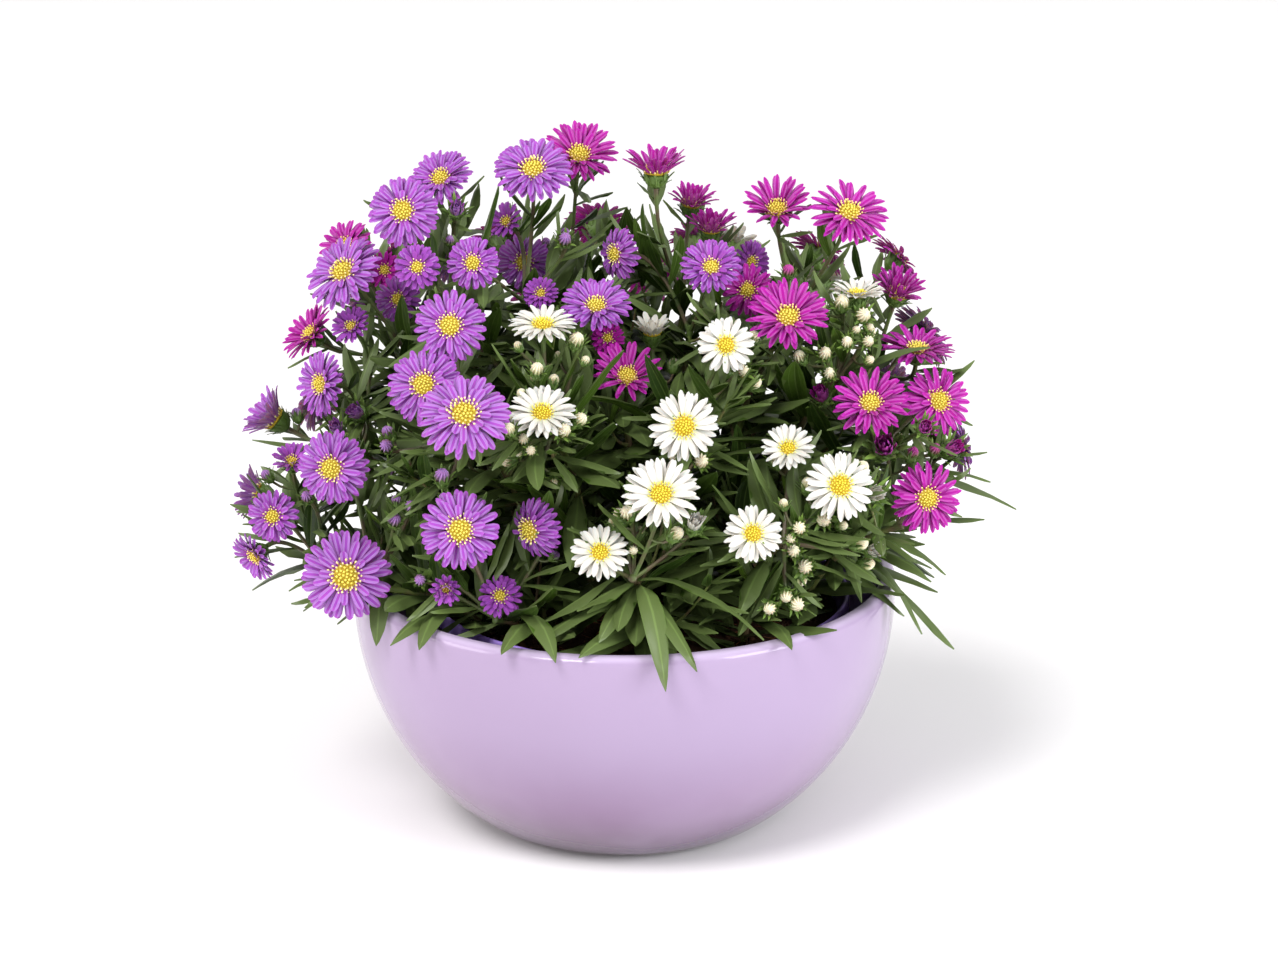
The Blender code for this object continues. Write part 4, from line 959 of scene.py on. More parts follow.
# %% Room for more
TEST_SHARES, TEST_GIRTHS = (0.16, 0.4, 0.7), (0.5, 1.0, 0.9)
TEST_CLEARANCE, TEST_FOLD = 0.0003, 0.25
TEST_QUADS = ((0, 1, 4, 3), (1, 2, 5, 4), (3, 4, 7, 6), (4, 5, 8, 7), (6, 7, 9), (7, 8, 9))
CELL = 0.03
FACE_CLEAR, VIEW_CLEAR, FACE_SHARE, FACING_EYE = 0.050, 0.150, 0.95, 0.2
DOME_MIDDLE, DOME_REACH = Vector((0, 0, 0.10)), Vector((0.160, 0.130, 0.186))


class Room:
    """Everything placed so far, to test a new leaf or shoot against."""

    def __init__(self, objects):
        points, faces = [], []
        for obj in objects:
            first = len(points)
            points += [v.co.copy() for v in obj.data.vertices]
            faces += [tuple(first + i for i in polygon.vertices) for polygon in obj.data.polygons]
        self.solids = BVHTree.FromPolygons(points, faces)
        self.cells = {}

    def fits(self, points, faces):
        """Whether a thin test mesh meets nothing. If so, it takes its place."""
        tree = BVHTree.FromPolygons(points, faces)
        if tree.overlap(self.solids):
            return False
        spans = [range(math.floor(min(values) / CELL), math.floor(max(values) / CELL) + 1)
                 for values in zip(*points)]
        cells = list(itertools.product(*spans))
        near = {id(other): other for cell in cells for other in self.cells.get(cell, ())}
        if any(tree.overlap(other) for other in near.values()):
            return False
        for cell in cells:
            self.cells.setdefault(cell, []).append(tree)
        return True


def leaf_blades(leaf):
    """Test blades of a leaf, folded like it: one a little above it and one a little below."""
    side = leaf_side(leaf)
    points, faces = [], []
    for lift in (TEST_CLEARANCE, -TEST_CLEARANCE):
        lift = Vector((0, 0, lift))
        faces += [tuple(len(points) + i for i in quad) for quad in TEST_QUADS]
        for share, girth in zip(TEST_SHARES, TEST_GIRTHS):
            middle = leaf_spot(leaf, share) + lift
            half = leaf.width / 2 * girth
            fold = Vector((0, 0, half * TEST_FOLD))
            points += [middle + side * half + fold, middle, middle - side * half + fold]
        points.append(leaf_spot(leaf, 1.0) + lift)
    return points, faces


def twig_blades(line, radius):
    """Two crossed test strips along a twig, from a little way out."""
    points = []
    for spot, after in zip(line[1:], line[2:] + line[-2:-1]):
        side, over = across((after - spot).normalized())
        points += [spot + side * radius, spot - side * radius, spot + over * radius, spot - over * radius]
    rungs = range(0, len(points) - 4, 4)
    return points, [(i + k, i + k + 1, i + k + 5, i + k + 4) for i in rungs for k in (0, 2)]


def in_box(spot):
    return all(cad_box[0][i] < spot[i] < cad_box[1][i] for i in range(3))


def in_dome(spot):
    """Whether a point lies under the flowers."""
    return sum(((spot[i] - DOME_MIDDLE[i]) / DOME_REACH[i]) ** 2 for i in range(3)) < 1


all_heads = [head for stem in STEMS for head in stem.heads]
head_centres, head_axes = (np.array([head[i] for head in all_heads]) for i in (0, 1))
head_reaches = np.array([head.reach for head in all_heads]) * FACE_SHARE
head_views = unit(np.array(EYE) - head_centres)
head_seen = (head_views * head_axes).sum(-1) > FACING_EYE


def hides_a_head(spots):
    """Whether any of the points lies before the face of a head, or between a head and the eye."""
    away = np.array(spots)[:, None] - head_centres
    for ways, far, counted in ((head_axes, FACE_CLEAR, True), (head_views, VIEW_CLEAR, head_seen)):
        high = (away * ways).sum(-1)
        beside = np.linalg.norm(away - ways * high[..., None], axis=-1)
        if ((high > 0) & (high < far) & (beside < head_reaches) & counted).any():
            return True
    return False


room = Room(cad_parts.values())
print("faces to keep clear of:", sum(len(node.data.polygons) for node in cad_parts.values()))

# %% [markdown]
# Young buds stand beside the older ones, on short stalks of their own. The white plant has the most.

# %% Young side buds
SIDE_BUDS = {"violet": 0.4, "magenta": 0.4, "white": 2}
SIDE_BUD_TRIES, SIDE_BUD_SEED, SIDE_BUD_STEM = 12, 6500, 0.0006
SIDE_BUD_SHARES, SIDE_BUD_LENGTHS, SIDE_BUD_REACHES = (0.35, 0.88), (0.006, 0.013), (0.0019, 0.0034)
# The way it looks: along the stalk, outward and up. Then how far its middle and its stalk's bend lie off
SIDE_BUD_ALONG, SIDE_BUD_OUTS, SIDE_BUD_UP = 0.8, (0.3, 0.8), Vector((0, 0, 0.4))
SIDE_BUD_OUT, SIDE_BUD_ON, SIDE_BUD_BEND, SIDE_BUD_STALK = 0.55, 0.75, 0.45, (0, 0.35, 0.7, 1.0)
TWIG_POINTS = 9


def side_bud(line, draw):
    """A young bud beside a stalk, with its own short stalk, where there is room, or nothing."""
    for _ in range(SIDE_BUD_TRIES):
        base, way = line_point(line, draw.uniform(*SIDE_BUD_SHARES))
        turn, length = draw.uniform(0, TURN), draw.uniform(*SIDE_BUD_LENGTHS)
        outward = toward(*across(way), turn)
        axis = (way * SIDE_BUD_ALONG + outward * draw.uniform(*SIDE_BUD_OUTS) + SIDE_BUD_UP).normalized()
        reach = draw.uniform(*SIDE_BUD_REACHES)
        bud = Head(base + outward * length * SIDE_BUD_OUT + axis * length * SIDE_BUD_ON, axis, reach, 0)
        stalk = bent(base, base + outward * length * SIDE_BUD_BEND, bud_back(bud), SIDE_BUD_STALK)
        tested = stalk + [bud.centre + axis * reach, bud.centre + axis * reach * 2]
        if in_box(bud.centre) and not hides_a_head(tested) and room.fits(*twig_blades(tested, reach)):
            return bud, stalk
    return None


stalk_lines, side_buds = {}, {}
for stem in STEMS:
    ends = [(head, head_back(head)) for head in stem.heads] + [(bud, bud_back(bud)) for bud in stem.buds]
    stalk_lines[stem.name] = [stalk_line(stem, flower, back, TWIG_POINTS) for flower, back in ends]
    draw = random.Random(SIDE_BUD_SEED + stem.number)
    found = []
    for line in stalk_lines[stem.name]:
        found += [side_bud(line, draw) for _ in range(int(SIDE_BUDS[stem.colour] + draw.random()))]
    side_buds[stem.name] = [pair for pair in found if pair]
print("young buds:", sum(map(len, side_buds.values())))

# %% More leaves, shoots and stalk leaves
Habit = namedtuple("Habit", "shares lengths spreads droops width limit")
TALL_LEAVES = Habit((0.16, 0.98), (0.062, 0.046), (42, 76), (0.05, 0.42), 0.225, in_dome)
LOW_LEAVES = Habit((0.02, 0.22), (0.038, 0.032), (62, 95), (0.05, 0.30), 0.29, in_box)
SHOOT_LEAVES = Habit((0.12, 0.90), (0.038, 0.028), (35, 72), (0.00, 0.32), 0.235, in_dome)
TUFT_LEAVES = Habit((0.88, 1.00), (0.028, 0.020), (14, 42), (-0.10, 0.15), 0.23, in_dome)
STALK_LEAVES = Habit((0.10, 0.90), (0.036, 0.018), (26, 64), (-0.10, 0.22), 0.215, in_box)
SHORTER = (1.0, 1.0, 0.95, 0.9, 0.9, 0.85, 0.8, 0.75, 0.7, 0.65, 0.6, 0.5)
HIDING_SHARES, LENGTH_VARIES, WIDTH_VARIES = (0.3, 0.65, 1.0), (0.88, 1.1), (0.85, 1.15)
TALL_SPACING, LOW_COUNT, TUFT_COUNT, STALK_LEAF_SPACING = 0.0050, 8, 6, 0.0060
SHOOTS, SHOOT_TRIES, SHOOT_SPACING, SHOOT_BASES = 4, 16, 0.0062, (0.22, 0.95)
SHOOT_LENGTHS, SHOOT_RADIUS, SHOOT_LEANS, SHOOT_RISES = (0.030, 0.070), 0.0008, (0.35, 0.80), (0.45, 0.90)
SHOOT_BEND_OUT, SHOOT_BEND_ON = 0.35, 0.12
LEAF_SEED, STALK_LEAF_SEED, SHOOT_SEED = 5000, 5500, 6000
STEM_POINTS = 17


def grow_on(stem, kind, line, count, habit, draw):
    """Up to count leaves of one habit along a line of a stem, each where there is room for it."""
    for _ in range(count):
        share = draw.uniform(*habit.shares)
        base, way = line_point(line, share)
        long = habit.lengths[0] + (habit.lengths[1] - habit.lengths[0]) * share
        for shorter in SHORTER:
            length, angle = long * shorter * draw.uniform(*LENGTH_VARIES), draw.uniform(0, TURN)
            leaf = leaf_from(base, way, angle, math.radians(draw.uniform(*habit.spreads)), length,
                             draw.uniform(*habit.droops), habit.width * draw.uniform(*WIDTH_VARIES))
            spots = [leaf_spot(leaf, along) for along in HIDING_SHARES]
            if habit.limit(spots[-1]) and not hides_a_head(spots) and room.fits(*leaf_blades(leaf)):
                leaves[stem.name].append(leaf)
                counts[kind] += 1
                break


def side_shoot(line, draw):
    """A twig that leaves a stem and turns up, where there is room, or nothing."""
    for _ in range(SHOOT_TRIES):
        base, way = line_point(line, draw.uniform(*SHOOT_BASES))
        turn, length = draw.uniform(0, TURN), draw.uniform(*SHOOT_LENGTHS)
        outward = toward(*across(way), turn)
        lean, rise = outward * length * draw.uniform(*SHOOT_LEANS), length * draw.uniform(*SHOOT_RISES)
        tip = base + lean + Vector((0, 0, rise))
        bend = base + outward * length * SHOOT_BEND_OUT + way * length * SHOOT_BEND_ON
        twig = bent(base, bend, tip, shares_of(TWIG_POINTS))
        clear = in_dome(tip) and not hides_a_head(twig)
        if clear and room.fits(*twig_blades(twig, SHOOT_RADIUS + TEST_CLEARANCE)):
            return twig
    return None


counts = dict.fromkeys(("tall", "low", "stalk", "shoot"), 0)
for stem in STEMS:
    draw, line = random.Random(LEAF_SEED + stem.number), stem_line(stem, STEM_POINTS)
    grow_on(stem, "tall", line, round(line_length(line) / TALL_SPACING), TALL_LEAVES, draw)
    grow_on(stem, "low", line, LOW_COUNT, LOW_LEAVES, draw)
for stem in STEMS:
    draw = random.Random(STALK_LEAF_SEED + stem.number)
    for line in stalk_lines[stem.name]:
        grow_on(stem, "stalk", line, round(line_length(line) / STALK_LEAF_SPACING), STALK_LEAVES, draw)
shoots = {stem.name: [] for stem in STEMS}
for stem in STEMS:
    draw, line = random.Random(SHOOT_SEED + stem.number), stem_line(stem, STEM_POINTS)
    for _ in range(SHOOTS):
        twig = side_shoot(line, draw)
        if twig:
            shoots[stem.name].append(twig)
            grow_on(stem, "shoot", twig, round(line_length(twig) / SHOOT_SPACING), SHOOT_LEAVES, draw)
            grow_on(stem, "shoot", twig, TUFT_COUNT, TUFT_LEAVES, draw)
print("more leaves:", counts, "on", sum(map(len, shoots.values())), "shoots")

# %% [markdown]
# ## Leaves and stems
# An aster's leaf is a long lance, folded a little along its midrib, with a wavy edge. The midrib is
# sunk above and stands out below. Each leaf bends and waves in its own way, and the youngest are small
# and bright. The stems are slim, ridged and a little purple where the sun reaches them.

# %% Making a leaf
LEAF_SHARES = np.array((0, 0.08, 0.20, 0.35, 0.52, 0.69, 0.84, 0.94, 1.0))
LEAF_OUTLINE = np.array((0.15, 0.31, 0.63, 0.90, 1.0, 0.95, 0.68, 0.35, 0.03))
SMALL_SHARES = np.array((0, 0.14, 0.36, 0.60, 0.82, 0.95, 1.0))
SMALL_OUTLINE = np.array((0.17, 0.48, 0.89, 1.0, 0.72, 0.30, 0.03))
SMALL_LEAF, TINY_LEAF, LEAF_THICK = 0.026, 0.016, 0.00035
LEAF_SWAY, LEAF_HOOK, LEAF_ROLL, LEAF_TWIST = 0.05, 0.03, 0.25, 0.45
ANY_ANGLE, WAVE_PACES, WAVE_HEIGHT, WAVE_LAG = 6.28, (7, 12), 0.08, 1.9


def grow_leaf(growth, leaf, draw, tone):
    """Adds one leaf: lance-shaped, folded and wavy."""
    small = leaf.length < SMALL_LEAF
    shares, outline = (SMALL_SHARES, SMALL_OUTLINE) if small else (LEAF_SHARES, LEAF_OUTLINE)
    section = BRACT_SECTION if leaf.length < TINY_LEAF else LEAF_SECTION
    side = np.array(leaf_side(leaf))
    sway = draw.uniform(-LEAF_SWAY, LEAF_SWAY) * np.sin(shares * math.pi)
    sway = leaf.length * (sway + draw.uniform(-LEAF_HOOK, LEAF_HOOK) * shares**3)
    spine = np.array([leaf_spot(leaf, share) for share in shares]) + side * sway[:, None]
    roll = draw.uniform(-LEAF_ROLL, LEAF_ROLL) + draw.uniform(-LEAF_TWIST, LEAF_TWIST) * shares
    phase, pace = draw.uniform(0, ANY_ANGLE), draw.uniform(*WAVE_PACES)
    wave = np.sin(shares[:, None] * pace + phase + (section.across < 0) * WAVE_LAG)
    wave = wave * section.across**2 * leaf.width * WAVE_HEIGHT * outline[:, None]
    sides = unit(spokes(side, np.array(UP), roll))
    blade(growth, spine, sides, leaf.width / 2 * outline, section, LEAF_THICK, tone, wave[..., None])


sizes = [2 * 8 * (len(shares) - 1) + 12 for shares in (LEAF_SHARES, SMALL_SHARES)]
print("triangles in a leaf:", sizes[0], "and a small one:", sizes[1])

# %% The green finishes
STEM_TONE = 2.0
STEM_RADIUS, STEM_TOP_RADIUS, STEM_SIDES, STEM_RIDGES = 0.0017, 0.0013, 10, 0.05
SHOOT_TAPER, SHOOT_SIDES, LEAF_SHARP_DEG = 0.6, 6, 55
LEAFY_SEED, OLD_TONE = 7000, 0.85


def green_finish(name, deep, mid, young, rib, under, stalk, ruddy):
    """A leaf's finish: deep green to young green by tone, with pale veins. Stalks have a tone of 2."""
    green = Finish(name, Specular_IOR_Level=0.32)
    side, tone, clouds = abs(green.mark("across")), green.mark("tone"), green.speckle(120, 3)
    midrib = 1 - side.between(0.02, 0.10)
    vein = 1 - abs(side - 0.52).between(0.015, 0.06)
    colour = green.layers(
        deep, (tone.between(0.0, 0.75), mid), (tone.between(0.78, 0.95), young),
        (clouds.between(0.4, 0.7) * 0.35, mid), (midrib * 0.60, rib), (vein * 0.22, rib),
        (side.between(0.86, 1.0) * 0.35, rib),
        (side.between(1.0, 1.1) * 0.8, green.layers(under, (side.between(1.84, 1.96) * 0.6, rib))),
        (tone.between(1.4, 1.6), green.layers(stalk, (clouds.between(0.35, 0.65), ruddy))))
    green.wear(Base_Color=colour, Roughness=clouds * 0.16 + 0.34)
    green.relief(midrib + vein * 0.4 + green.speckle(420, 3) * 0.5, 0.0003, 0.5)
    return green


foliage = green_finish(
    "aster_leaf", deep=(0.020, 0.046, 0.005), mid=(0.050, 0.096, 0.010), young=(0.112, 0.196, 0.020),
    rib=(0.160, 0.235, 0.065), under=(0.086, 0.120, 0.036),
    stalk=(0.120, 0.165, 0.038), ruddy=(0.125, 0.085, 0.045))
for colour in COLOURS:
    growth = Growth()
    stems = [stem for stem in STEMS if stem.colour == colour]
    for stem in stems:
        draw = random.Random(LEAFY_SEED + stem.number)
        radii = [STEM_RADIUS + (STEM_TOP_RADIUS - STEM_RADIUS) * share for share in shares_of(STEM_POINTS)]
        tube(growth, stem_line(stem, STEM_POINTS), radii, STEM_SIDES, STEM_TONE, STEM_RIDGES)
        for twig in shoots[stem.name]:
            radii = np.linspace(SHOOT_RADIUS, SHOOT_RADIUS * SHOOT_TAPER, TWIG_POINTS)
            tube(growth, twig, radii, SHOOT_SIDES, STEM_TONE)
        for leaf in leaves[stem.name]:
            grow_leaf(growth, leaf, draw, draw.random() * (1.0 if leaf.length < SMALL_LEAF else OLD_TONE))
    nodes = [stem.name + "_stem" for stem in stems]
    growth.piece(colour + "_leafy_stems", foliage, LEAF_SHARP_DEG, "foliage", *nodes)

# %% [markdown]
# ## Flower heads
# A head is a crowd of flowers. The petals are the ray flowers, narrow straps in two or three layers that
# overlap like roof tiles and droop a little at their tips. Each has a narrow root, two grooves and a
# rounded end. They are set at even angles with a little disorder, because a perfect star looks made.

# %% Petals
PETAL_SHARES = np.array((0, 0.25, 0.55, 0.82, 0.95, 1.0))
STRAP = np.array((0.42, 0.74, 0.97, 0.98, 0.64, 0.16))
LANCE = np.array((0.42, 0.78, 1.0, 0.84, 0.45, 0.08))
PETAL_THICK, PETAL_ROOT, LAYER_STEP = 0.00022, 0.20, 0.0004
PETAL_ARCHES, PETAL_DROOPS, PETAL_SWAY, PETAL_ROLL = (0.005, 0.06), (-0.03, 0.07), 0.035, 0.25
PETAL_EVEN, PETAL_RAGGED, INNER_RAGGED = 0.94, 0.76, 0.62
PETAL_STRAY, PETAL_TILT_DEG, PETAL_WIDTHS = 0.22, 3, (0.9, 1.1)
YOUNG_CUP, YOUNG_REACH, YOUNG_LAYER = math.radians(32), 0.0165, (12, 0.60, 26)
WIDE_CUP, WIDE_CUP_CROWD = math.radians(24), 0.66
SMALL_HEAD, SMALL_CROWD = 0.0135, 0.85
# Layers from the outside in, each with its count, its reach and its rise in degrees
Bloom = namedtuple("Bloom", "layers width outline disc")
BLOOMS = {
    "violet": Bloom(((24, 1.0, -9), (21, 0.97, -1), (14, 0.84, 9)), 0.166, STRAP, 0.325),
    "magenta": Bloom(((20, 1.0, -8), (18, 0.96, 1), (11, 0.82, 10)), 0.168, LANCE, 0.310),
    "white": Bloom(((22, 1.0, -6), (17, 0.95, 3)), 0.184, LANCE, 0.30),
}


def frame_of(flower):
    """A flower's centre and axis, and two directions across it."""
    return [np.array(v) for v in (flower.centre, flower.axis, *across(flower.axis))]


def petal(growth, foot, outward, axis, root, length, rise, width, outline, draw, tone):
    """Adds a petal that leaves foot outward, with its root and tip at these reaches."""
    reach = root + (length * math.cos(rise) - root) * PETAL_SHARES
    arch = draw.uniform(*PETAL_ARCHES) * np.sin(math.pi * PETAL_SHARES)
    droop = draw.uniform(*PETAL_DROOPS) * PETAL_SHARES**3
    height = length * (math.sin(rise) * PETAL_SHARES + arch - droop)
    level = np.cross(axis, outward)
    sway = length * draw.uniform(-PETAL_SWAY, PETAL_SWAY) * PETAL_SHARES**2
    spine = foot + outward * reach[:, None] + axis * height[:, None] + level * sway[:, None]
    side = toward(level, axis, draw.uniform(-PETAL_ROLL, PETAL_ROLL))
    blade(growth, spine, side, width / 2 * outline, PETAL_SECTION, PETAL_THICK, tone)


def grow_petals(growth, head, bloom, draw):
    """Adds all petals of a head."""
    centre, axis, side, over = frame_of(head)
    crowd = 1.0 if head.reach > SMALL_HEAD else SMALL_CROWD
    young = head.cup > YOUNG_CUP and head.reach < YOUNG_REACH
    for layer, (count, share, rise) in enumerate(bloom.layers + ((YOUNG_LAYER,) if young else ())):
        count = round(count * crowd * (WIDE_CUP_CROWD if head.cup > WIDE_CUP else 1.0))
        even = INNER_RAGGED if layer == 2 else PETAL_RAGGED if head.cup > YOUNG_CUP else PETAL_EVEN
        start = draw.uniform(0, ANY_ANGLE)
        for k in range(count):
            angle = start + TURN * (k + draw.uniform(-PETAL_STRAY, PETAL_STRAY)) / count
            outward = toward(side, over, angle)
            up = math.radians(rise + draw.uniform(-PETAL_TILT_DEG, PETAL_TILT_DEG)) + head.cup
            length = head.reach * share * draw.uniform(even, 1.0)
            width = head.reach * bloom.width / crowd * draw.uniform(*PETAL_WIDTHS)
            foot = centre + axis * LAYER_STEP * layer
            petal(growth, foot, outward, axis, head.reach * PETAL_ROOT, length, up, width,
                  bloom.outline, draw, draw.random())


print("petals of a large violet head:", sum(layer[0] for layer in BLOOMS["violet"].layers))

# %% [markdown]
# A tight bud is its petals folded together into a ridged oval, green at the foot. A nearly open one is
# a small barrel of upright petals, the inner ones still bent over the middle.

# %% Buds
BUD_RIDGES, RIDGE_DEPTH, BUD_TWIST = 10, 0.17, 0.35
BUD_FORM = ((-0.5, 0.52), (0.0, 0.70), (0.5, 0.76), (0.95, 0.66), (1.3, 0.42), (1.5, 0.10))
CLOSED_TONE = 2.0
HALF_OPEN, BARREL_FOOT, BARREL_LENGTHS, BARREL_WIDTH = 0.0040, 0.3, (1.5, 1.8), 0.36
BARREL_STRAY, BARREL_TONE = 0.2, 0.6
# Rows from the outside in, each with its count, its root, its leans in degrees and its height
BARREL = ((14, 0.52, (60, 74), 1.0), (11, 0.40, (74, 84), 0.96), (7, 0.20, (82, 90), 0.86))


def grow_barrel(growth, bud, bloom, draw):
    """Adds the petals of a bud that is nearly open."""
    centre, axis, side, over = frame_of(bud)
    size = bud.reach
    for row, (count, root, leans, tall) in enumerate(BARREL):
        for k in range(count):
            stray = draw.uniform(-BARREL_STRAY, BARREL_STRAY)
            outward = toward(side, over, TURN * (k + row * 0.5 + stray) / count)
            lean = math.radians(draw.uniform(*leans))
            petal(growth, centre - axis * size * BARREL_FOOT, outward, axis, size * root,
                  size * tall * draw.uniform(*BARREL_LENGTHS), lean, size * BARREL_WIDTH, bloom.outline, draw,
                  draw.random() * BARREL_TONE)


def grow_bud(growth, bud, draw):
    """Adds the coloured part of a tight bud."""
    centre, axis, side, over = frame_of(bud)
    ridge, turn = np.cos(np.arange(BUD_RIDGES * 2) * math.pi), turns(BUD_RIDGES * 2)
    rings = []
    for z, girth in BUD_FORM:
        reach = girth * (1 + RIDGE_DEPTH * ridge) * bud.reach
        ring = spokes(side, over, turn + BUD_TWIST * max(z, 0) ** 2) * reach[:, None]
        rings.append(centre + axis * z * bud.reach + ring)
    growth.loft(rings, ridge * 0.5 + 0.5, CLOSED_TONE + draw.random() * 0.3)


print("points in a closed bud:", BUD_RIDGES * 2 * len(BUD_FORM))

# %% [markdown]
# A petal is thin and lets some light through, which the shader's subsurface gives it. Its colour is
# deeper at the root and finely lined along its length. It is paler towards the tip, partly its own colour
# and partly painted highlight, and its raised edges carry a painted highlight. A closed bud gets painted
# shade between its ridges.

# %% Petal finishes
PETAL_SEED, BUD_SEED = 9000, 9500
PETAL_LINES, PETAL_SHARP_DEG = 15, 60


def petal_finish(name, root, main, light, shade, under, foot, tip, furrow_shade):
    """A petal's finish, root to tip, with painted highlight. Closed buds have a tone of 2: foot, tip and
    painted-shade colours.
    """
    silk = Finish(
        name, Subsurface_Weight=0.12, Subsurface_Scale=0.004, Sheen_Weight=0.02, Specular_IOR_Level=0.14)
    along, side, tone = silk.mark("along"), silk.mark("across"), silk.mark("tone")
    lines = (side * PETAL_LINES).sine() * 0.5 + 0.5
    # Painted shade: a closed bud is darkened between its ridges.
    folded = silk.layers(foot, (along.between(0.20, 0.75), tip), ((1 - side) * 0.60, furrow_shade))
    # Painted highlight: the raised edges, and in part the tips, are lightened towards the light colour.
    colour = silk.layers(
        root, (along.between(0.0, 0.45), main), (tone * 0.50, shade), (along.between(0.5, 1.0) * 0.55, light),
        (abs(side).between(0.6, 1.0) * 0.28, light), (side.between(1.0, 1.2) * 0.75, under),
        (lines * 0.18, shade), (tone.between(1.4, 1.6), folded))
    silk.wear(Base_Color=colour, Roughness=lines * 0.08 + 0.52)
    silk.relief(lines, 0.00008, 0.6)
    return silk


# In each row, light is the paler colour of the tips and the painted highlight on the raised edges. The last
# colour is the painted shade between a closed bud's ridges.
PETAL_COLOURS = {
    "violet": dict(
        root=(0.31, 0.048, 0.32), main=(0.315, 0.058, 0.395), light=(0.435, 0.112, 0.52),
        shade=(0.150, 0.024, 0.24), under=(0.38, 0.19, 0.50),
        foot=(0.24, 0.24, 0.12), tip=(0.40, 0.20, 0.50), furrow_shade=(0.08, 0.025, 0.13)),
    "magenta": dict(
        root=(0.29, 0.004, 0.19), main=(0.345, 0.004, 0.255), light=(0.53, 0.028, 0.43),
        shade=(0.19, 0.003, 0.13), under=(0.43, 0.07, 0.35),
        foot=(0.26, 0.24, 0.10), tip=(0.50, 0.07, 0.34), furrow_shade=(0.16, 0.015, 0.09)),
    "white": dict(
        root=(0.66, 0.68, 0.42), main=(0.635, 0.62, 0.585), light=(0.665, 0.65, 0.62),
        shade=(0.57, 0.55, 0.49), under=(0.70, 0.64, 0.55),
        foot=(0.36, 0.42, 0.16), tip=(0.86, 0.78, 0.60), furrow_shade=(0.44, 0.38, 0.20)),
}
for colour, bloom in BLOOMS.items():
    growth = Growth()
    stems = [stem for stem in STEMS if stem.colour == colour]
    for stem in stems:
        for k, head in enumerate(stem.heads):
            grow_petals(growth, head, bloom, random.Random(PETAL_SEED + stem.number * 20 + k))
        for k, bud in enumerate([*stem.buds, *(bud for bud, stalk in side_buds[stem.name])]):
            draw = random.Random(BUD_SEED + stem.number * 40 + k)
            if bud.reach > HALF_OPEN:
                grow_barrel(growth, bud, bloom, draw)
            else:
                grow_bud(growth, bud, draw)
    silk = petal_finish(colour + "_petal", **PETAL_COLOURS[colour])
    nodes = [stem.name + "_spray" for stem in stems]
    growth.piece(colour + "_petals", silk, PETAL_SHARP_DEG, "petals_" + colour, *nodes)

# %% [markdown]
# ## The discs
# The middle of a head is a dome of tiny tube flowers, set in the spiral that seeds follow: each is
# turned by the golden angle from the last. The outer ones have opened, with cream lobes that stand up and
# outward. The inner ones are still closed and deep yellow.

# %% Disc florets
DISC_EDGE, DISC_RISE, DISC_SUNK, DISC_NARROW = 0.00035, 0.13, 0.0004, 0.7
DISC_FLORETS, LARGE_HEAD, DOME_SIDES, DOME_SHARES = 72, 0.016, 12, (1.0, 0.85, 0.6, 0.3, 0.06)
DOME_ALONG, DOME_TONE = 0.1, 0.2
DISC_SEED = 300
FLORET_LEANS, FLORET_STRAY, TONE_STRAY = (0.15, 0.85), 0.12, 0.03
# Girths at shares of a floret's height, and its heights
Floret = namedtuple("Floret", "form heights")
CLOSED_FLORET = Floret(((0, 0.34), (0.65, 0.50), (1.0, 0.24)), (0.8, 1.25))
OPEN_FLORET = Floret(((0, 0.22), (0.58, 0.22), (0.82, 0.40), (1.0, 0.22)), (1.2, 2.1))
OPEN_FROM = 0.50


def grow_disc(growth, head, disc_share, plant, draw):
    """Adds a head's dome and its tiny four-sided flowers."""
    centre, axis, side, over = frame_of(head)
    disc, rise = head.reach * disc_share, head.reach * DISC_RISE
    ring = spokes(side, over, turns(DOME_SIDES)) * disc
    rings = [centre - axis * DISC_SUNK + ring * DISC_NARROW]
    rings += [centre + axis * (DISC_EDGE + rise * (1 - share * share)) + ring * share
              for share in DOME_SHARES]
    growth.loft(rings, plant, DOME_TONE, DOME_ALONG)
    count = round(DISC_FLORETS * min(1.0, (head.reach / LARGE_HEAD) ** 1.3))
    spacing = disc * math.sqrt(math.pi / count)
    for k in range(count):
        share = math.sqrt((k + 0.5) / count)
        outward = toward(side, over, GOLDEN_ANGLE * k)
        foot = centre + outward * disc * share + axis * (DISC_EDGE * 0.5 + rise * (1 - share * share))
        lean = (FLORET_LEANS[0] + FLORET_LEANS[1] * share**2) * (1 - head.cup)
        way = toward(axis, outward, lean + draw.uniform(-FLORET_STRAY, FLORET_STRAY))
        tone = share + draw.uniform(-TONE_STRAY, TONE_STRAY)
        form, heights = OPEN_FLORET if share > OPEN_FROM else CLOSED_FLORET
        height = spacing * draw.uniform(*heights)
        left = unit(np.cross(way, outward))
        up = np.cross(way, left)
        square = np.array((left, up, -left, -up)) * spacing
        growth.loft([foot + way * height * along + square * girth for along, girth in form], plant, tone,
                    [along for along, girth in form])


pollen = Finish("disc_florets", Specular_IOR_Level=0.3, Subsurface_Weight=0.08, Subsurface_Scale=0.002)
along, plant, share = pollen.mark("along"), pollen.mark("across"), pollen.mark("tone")
height, magenta, white = along.between(0.1, 1.0), plant.between(0.5, 1.0), plant.between(1.5, 2.0)
middle = pollen.layers((0.46, 0.33, 0.020), (height, (0.88, 0.75, 0.135)))
lemon = pollen.layers((0.50, 0.34, 0.010), (height, (0.90, 0.78, 0.080)))
opened = pollen.layers((0.92, 0.79, 0.36), (magenta, (0.91, 0.68, 0.30)), (white, (0.90, 0.76, 0.12)))
opened = pollen.layers((0.60, 0.43, 0.05), (along.between(0.35, 0.75), opened))
colour = pollen.layers(middle, (white, lemon), (share.between(0.52, 0.68), opened))
pollen.wear(Base_Color=colour, Roughness=along * 0.1 + 0.6)
pollen.relief(pollen.speckle(2500, 1), 0.0001, 0.5)

